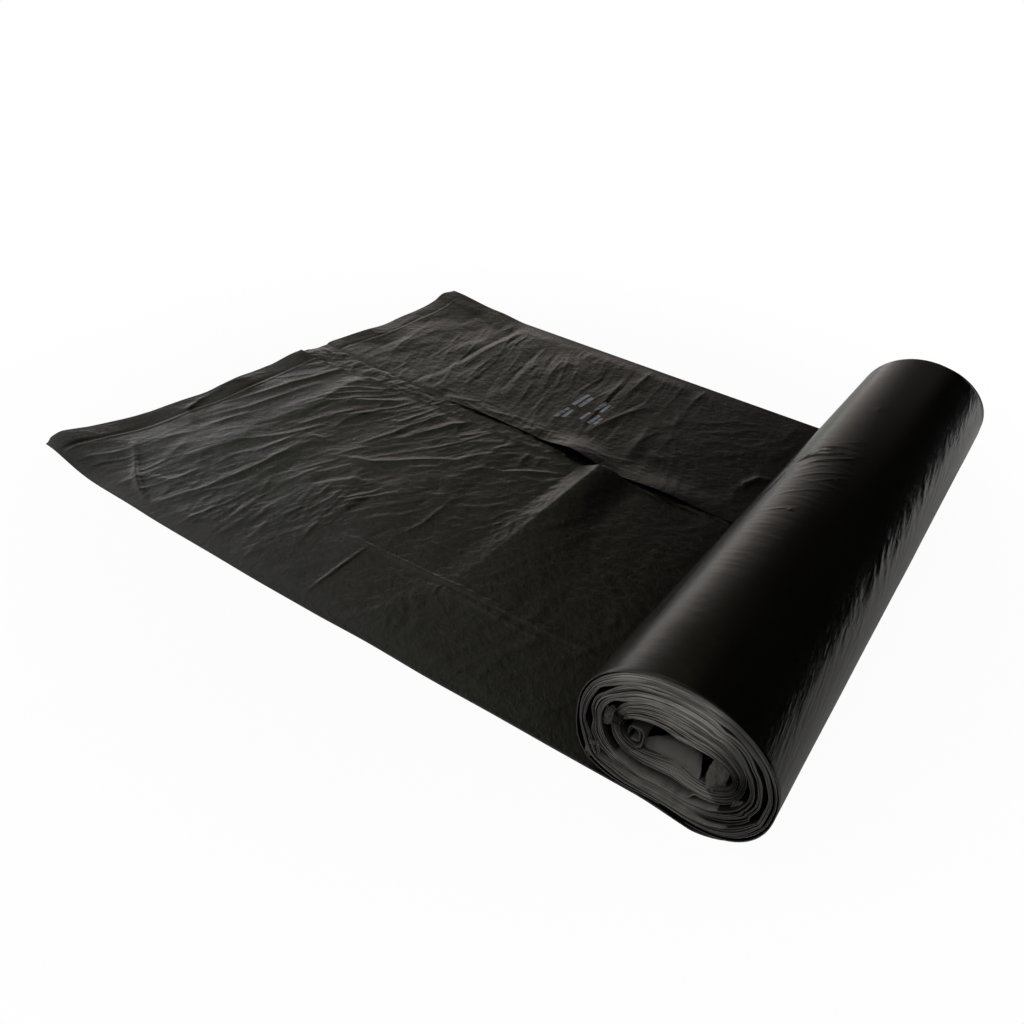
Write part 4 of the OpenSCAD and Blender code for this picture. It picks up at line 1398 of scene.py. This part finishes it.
def curl(name, middle, half, turns, start, y_from, y_to, seed):
    """A tail of film curled up beside the tongue, which runs along the roll, and its flat size."""
    share = np.linspace(0, 1, 84)[None, :]
    depth = np.concatenate([np.linspace(0, 16, 17), np.linspace(20, 350, 20), np.linspace(354, 370, 12)])
    y = blend(y_from, y_to, depth / 370)[:, None]
    angle = np.radians(start + 360 * turns * share + 14 * smooth_noise(y / 9, 0.5, seed))
    size = blend(1, 0.38, share**0.8) * (1 + 0.10 * smooth_noise(share * 9, y / 6, seed + 1))
    kink = 1 + 0.10 * np.sin(4 * angle + y / 9)
    x = middle[0] + half[0] * size * kink * np.cos(angle)
    x = x + 0.25 * smooth_noise(share * 12, y / 4, seed + 2)
    z = middle[1] + half[1] * size * kink * np.sin(angle)
    z = z + 0.25 * smooth_noise(share * 12, y / 4, seed + 3)
    y = y + 0.9 * smooth_noise(share * 6, 0.5, seed + 4) * np.sign(y) + 1.5 * share
    return loose_sheet(name, np.stack([x, y + 0 * x, z], -1), 0.45)


# Name, middle, half sizes, turns, start in degrees, start and end along the roll, seed
CURLS = [
    ("left_curl", (-16.2, 28.6), (4.4, 5.4), 1.8, 205, NEAR_Y + 3.4, FAR_Y - 6, 81),
    ("right_curl", (18.4, 30.4), (2.2, 6.2), 1.6, 80, NEAR_Y + 6.5, FAR_Y - 5, 91),
]
for row in CURLS:
    loose_pieces.append(curl(*row))
    print(row[0], face_count(loose_pieces[-1][0]), "faces")

# %% Crumpled flaps


def flap(name, middle, half, depth, heading, seed):
    """A crumpled flap across a pocket, which turns inwards at its right side, and its flat size."""
    over = np.linspace(-1, 2.6, 64)[None, :]
    up = np.linspace(-1, 1, 44)[:, None]
    front = np.clip(over, -1, 1)
    inwards = np.clip(over - 1, 0, None)
    folds = wrinkles(6 * front * half[0], 6 * up * half[1], heading, 6.5, 22, seed)
    x = middle[0] + half[0] * front * (1 - 0.3 * up**2) + 0.2 * smooth_noise(over * 4, up * 5, seed + 9)
    z = middle[1] + half[1] * up + 0.25 * smooth_noise(over * 5, up * 4, seed + 11)
    y = NEAR_Y + depth - 2.0 * folds + 0.8 * (front + 1) + 9 * inwards
    return loose_sheet(name, np.stack([x, y, z + 0 * x], -1), 0.12)


# Name, middle, half sizes, depth from the roll's end, heading of its folds, seed
FLAPS = [
    ("hollow_flap", (16.8, 30.2), (3.6, 7.8), 4.6, 118, 131),
    ("low_flap", (-30.8, 12.4), (3.0, 4.8), 1.4, 100, 141),
    ("high_flap", (-27.4, 31.6), (1.8, 5.4), 3.6, 60, 151),
    ("right_flap", (26.6, 20.4), (1.8, 5.0), 3.4, 70, 161),
]
for row in FLAPS:
    loose_pieces.append(flap(*row))
    print(row[0], face_count(loose_pieces[-1][0]), "faces")

# %% [markdown]
# ## Riding and replacing
# The roll has no moving parts, so every piece rides on the one body. Together the pieces stand for
# the one solid. Each sheet says what it was cut to: the tube is 750 mm wide and folded to 375 mm.

# %% Materials, bodies and sheets
SHEETS = [
    (near_panel, loose_film, (NEAR_PANEL, LOOSE_LENGTH), "laid"),
    (far_panel, printed_film, (FAR_PANEL, LOOSE_LENGTH), "laid"),
    (lower_film, loose_film, (ROLL_LENGTH, LOOSE_LENGTH), "laid"),
    (outer_turn, tight_film, (ROLL_LENGTH, ROUND_ROLL), "folded"),
]
SHEETS += [(piece, scuffed_film, flat, "folded") for piece, flat in loose_pieces]
for piece, film, flat, held in SHEETS:
    piece.data.materials.append(film)
    piece.data.materials.append(cut_edge)
for piece in [row[0] for row in SHEETS] + [wound_turns]:
    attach(piece, "root")
    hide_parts("bin_bag_roll")
print(len(SHEETS) + 1, "pieces ride on the root")

# %% [markdown]
# ## Floor, light and camera
# A dark, glossy thing is lit by what it reflects. So it stands in a light tent: a large dark dome with
# soft windows. Broad ones are low down behind the bag and on its left, a strong one is high in front,
# which draws the bright band down the roll's outer side, and a faint one is overhead. The camera does
# not see the tent. It sees a white floor, which the film reflects as well, and a white world behind it.

# %% The white floor
FLOOR_RADIUS = 6.0
TENT_RADIUS = 5.9


def disc(name, radius, parts):
    """A flat disc with one face."""
    ring = [
        (radius * math.cos(2 * math.pi * i / parts), radius * math.sin(2 * math.pi * i / parts), 0)
        for i in range(parts)
    ]
    mesh = bpy.data.meshes.new(name)
    mesh.from_pydata(ring, [], [tuple(range(parts))])
    return new_object(name, mesh)


def seen_by(tree, *kinds):
    """1 for the named kinds of ray: camera rays, or the glossy and transmission rays of the film."""
    path = tree.nodes.new("ShaderNodeLightPath").outputs
    found = path[kinds[0]]
    for kind in kinds[1:]:
        found = sums(tree, "MAXIMUM", found, path[kind])
    return found


floor = disc("floor", FLOOR_RADIUS, 96)
floor.location.z = -0.0002
white = bpy.data.materials.new("white floor")
white.use_nodes = True
tree = white.node_tree
tree.nodes.clear()
matte = add_node(tree, "ShaderNodeBsdfDiffuse", Color=(0.82, 0.82, 0.82, 1))
glow = add_node(tree, "ShaderNodeEmission", Color=(1, 1, 1, 1), Strength=1.0)
spot = tree.nodes.new("ShaderNodeTexCoord").outputs["Object"]
middle_x, middle_y = ((cad_low + cad_high) / 2 * MM).tolist()[:2]
from_bag = vector_sums(tree, "LENGTH", vector_sums(tree, "SUBTRACT", spot, (middle_x, middle_y, 0)))
seen_white = add_node(
    tree, "ShaderNodeMapRange", {"interpolation_type": "SMOOTHSTEP"}, Value=from_bag,
    From_Min=0.2, From_Max=0.45, To_Min=0.96, To_Max=1.0,
)
mirrored_white = soft_step(tree, from_bag, 0.45, 1.5)
share = sums(tree, "MULTIPLY", seen_by(tree, "Is Camera Ray"), seen_white.outputs[0])
mirror = seen_by(tree, "Is Glossy Ray", "Is Transmission Ray")
share = sums(tree, "MAXIMUM", share, sums(tree, "MULTIPLY", mirror, mirrored_white))
either = tree.nodes.new("ShaderNodeMixShader")
for socket, value in zip(either.inputs, (share, matte.outputs[0], glow.outputs[0])):
    plug(tree, socket, value)
surface = tree.nodes.new("ShaderNodeOutputMaterial")
tree.links.new(either.outputs[0], surface.inputs["Surface"])
white.cycles.emission_sampling = "NONE"
floor.data.materials.append(white)
print("floor radius", FLOOR_RADIUS, "m")

# %% The light tent


def tent_mesh(radius, rings, parts):
    """Half a sphere that stands open side down on the floor."""
    verts, faces = [], []
    for i in range(rings):
        up = math.pi / 2 * i / rings
        for j in range(parts):
            turn = 2 * math.pi * j / parts
            flat = radius * math.cos(up)
            verts.append((flat * math.cos(turn), flat * math.sin(turn), radius * math.sin(up)))
    verts.append((0, 0, radius))
    for i in range(rings - 1):
        for j in range(parts):
            k = (j + 1) % parts
            faces.append((i * parts + j, (i + 1) * parts + j, (i + 1) * parts + k, i * parts + k))
    last = (rings - 1) * parts
    for j in range(parts):
        faces.append((last + j, len(verts) - 1, last + (j + 1) % parts))
    mesh = bpy.data.meshes.new("light_tent")
    mesh.from_pydata(verts, [], faces)
    return mesh


tent = new_object("light_tent", tent_mesh(TENT_RADIUS, 24, 72))
tent.visible_camera = False
print("tent radius", TENT_RADIUS, "m")

# %% The windows of the tent
cloth = bpy.data.materials.new("tent cloth")
cloth.use_nodes = True
tree = cloth.node_tree
tree.nodes.clear()
toward = vector_sums(tree, "NORMALIZE", tree.nodes.new("ShaderNodeTexCoord").outputs["Object"])
axes = add_node(tree, "ShaderNodeSeparateXYZ", Vector=toward)
degrees = 180 / math.pi
# Degrees to the left of +Y, from -90 to 270, so that no window crosses the seam
heading = sums(tree, "ARCTAN2", sums(tree, "MULTIPLY", axes.outputs[0], -1.0), axes.outputs[1])
heading = sums(tree, "FLOORED_MODULO", sums(tree, "MULTIPLY_ADD", heading, degrees, 90.0), 360.0)
heading = sums(tree, "SUBTRACT", heading, 90.0)
height = sums(tree, "MULTIPLY", sums(tree, "ARCSINE", axes.outputs[2]), degrees)
# Headings where a window starts, is full, is still full and ends, the same for its height, strength
TENT_WINDOWS = [
    ((2, 45, 80, 100), (-20, -10, 9, 16), 0.42),
    ((8, 48, 80, 100), (-20, -10, 12, 40), 0.56),
    ((16, 60, 80, 110), (27, 44, 55, 80), 0.46),
    ((6, 26, 80, 110), (38, 48, 58, 76), 0.19),
    ((-8, 4, 20, 40), (10, 16, 22, 28), 0.07),
    ((46, 74, 120, 150), (-20, -10, 32, 55), 0.45),
    ((84, 104, 135, 165), (12, 26, 48, 62), 0.70),
    ((-92, -91, 271, 272), (58, 76, 91, 92), 0.15),
    ((110, 140, 190, 225), (-20, 0, 35, 60), 0.45),
    ((120, 150, 205, 240), (40, 52, 74, 84), 2.00),
]
light = 0.002
for headings, heights, strength in TENT_WINDOWS:
    window = sums(tree, "MULTIPLY", band(tree, heading, *headings), band(tree, height, *heights))
    light = sums(tree, "MULTIPLY_ADD", window, strength, light)
# The back of the tent is a little rosy low down and olive higher up, and its left side is plain
ROSY, OLIVE, PLAIN = (1.08, 0.98, 0.91, 1), (0.98, 0.97, 0.70, 1), (1.0, 0.99, 0.95, 1)
back = mixed(tree, "RGBA", soft_step(tree, height, 23.0, 31.0), ROSY, OLIVE)
tint = mixed(tree, "RGBA", soft_step(tree, heading, 40.0, 60.0), back, PLAIN)
glow = add_node(tree, "ShaderNodeEmission", Color=tint, Strength=light)
surface = tree.nodes.new("ShaderNodeOutputMaterial")
tree.links.new(glow.outputs[0], surface.inputs["Surface"])
cloth.cycles.emission_sampling = "NONE"
tent.data.materials.append(cloth)
print("the tent has", len(TENT_WINDOWS), "bright windows")

# %% The white world
world = bpy.data.worlds.new("white world")
bpy.context.scene.world = world
world.use_nodes = True
tree = world.node_tree
ground = tree.nodes["Background"]
ground.inputs["Color"].default_value = (1, 1, 1, 1)
every_kind = seen_by(tree, "Is Camera Ray", "Is Glossy Ray", "Is Transmission Ray")
tree.links.new(sums(tree, "MULTIPLY_ADD", every_kind, 0.7, 0.3), ground.inputs["Strength"])
bpy.context.scene.view_settings.view_transform = "Standard"
print("view transform:", bpy.context.scene.view_settings.view_transform)

# %% [markdown]
# ## The camera
# It stands in front of the near end, above it and a little to its right, and looks down across the
# roll to the loose bag, tipped by a few degrees. Its angles were worked out from the straight edges
# of the bag and the two ends of the roll.

# %% The camera
CAMERA_PLACE = (53.3, -386.6, 266.4)
HEADING, DOWN, TIP = 33.086, 34.236, 4.756
FOCAL_PIXELS, IMAGE_PIXELS, SENSOR = 814.73, 1024, 36.0
az, el, tip_angle = (math.radians(value) for value in (HEADING, DOWN, TIP))
ahead = Vector((-math.sin(az) * math.cos(el), math.cos(az) * math.cos(el), -math.sin(el)))
level = ahead.cross(Vector((0, 0, 1))).normalized()
upward = level.cross(ahead)
right = level * math.cos(tip_angle) + upward * math.sin(tip_angle)
top = upward * math.cos(tip_angle) - level * math.sin(tip_angle)
lens = bpy.data.cameras.new("camera")
lens.sensor_width = SENSOR
lens.lens = FOCAL_PIXELS / IMAGE_PIXELS * SENSOR
lens.clip_start, lens.clip_end = 0.01, 60
camera = new_object("camera", lens)
turned = Matrix((right, top, -ahead)).transposed()
camera.matrix_world = Matrix.Translation(Vector(CAMERA_PLACE) * MM) @ turned.to_4x4()
bpy.context.scene.camera = camera
print("lens", round(lens.lens, 2), "mm")
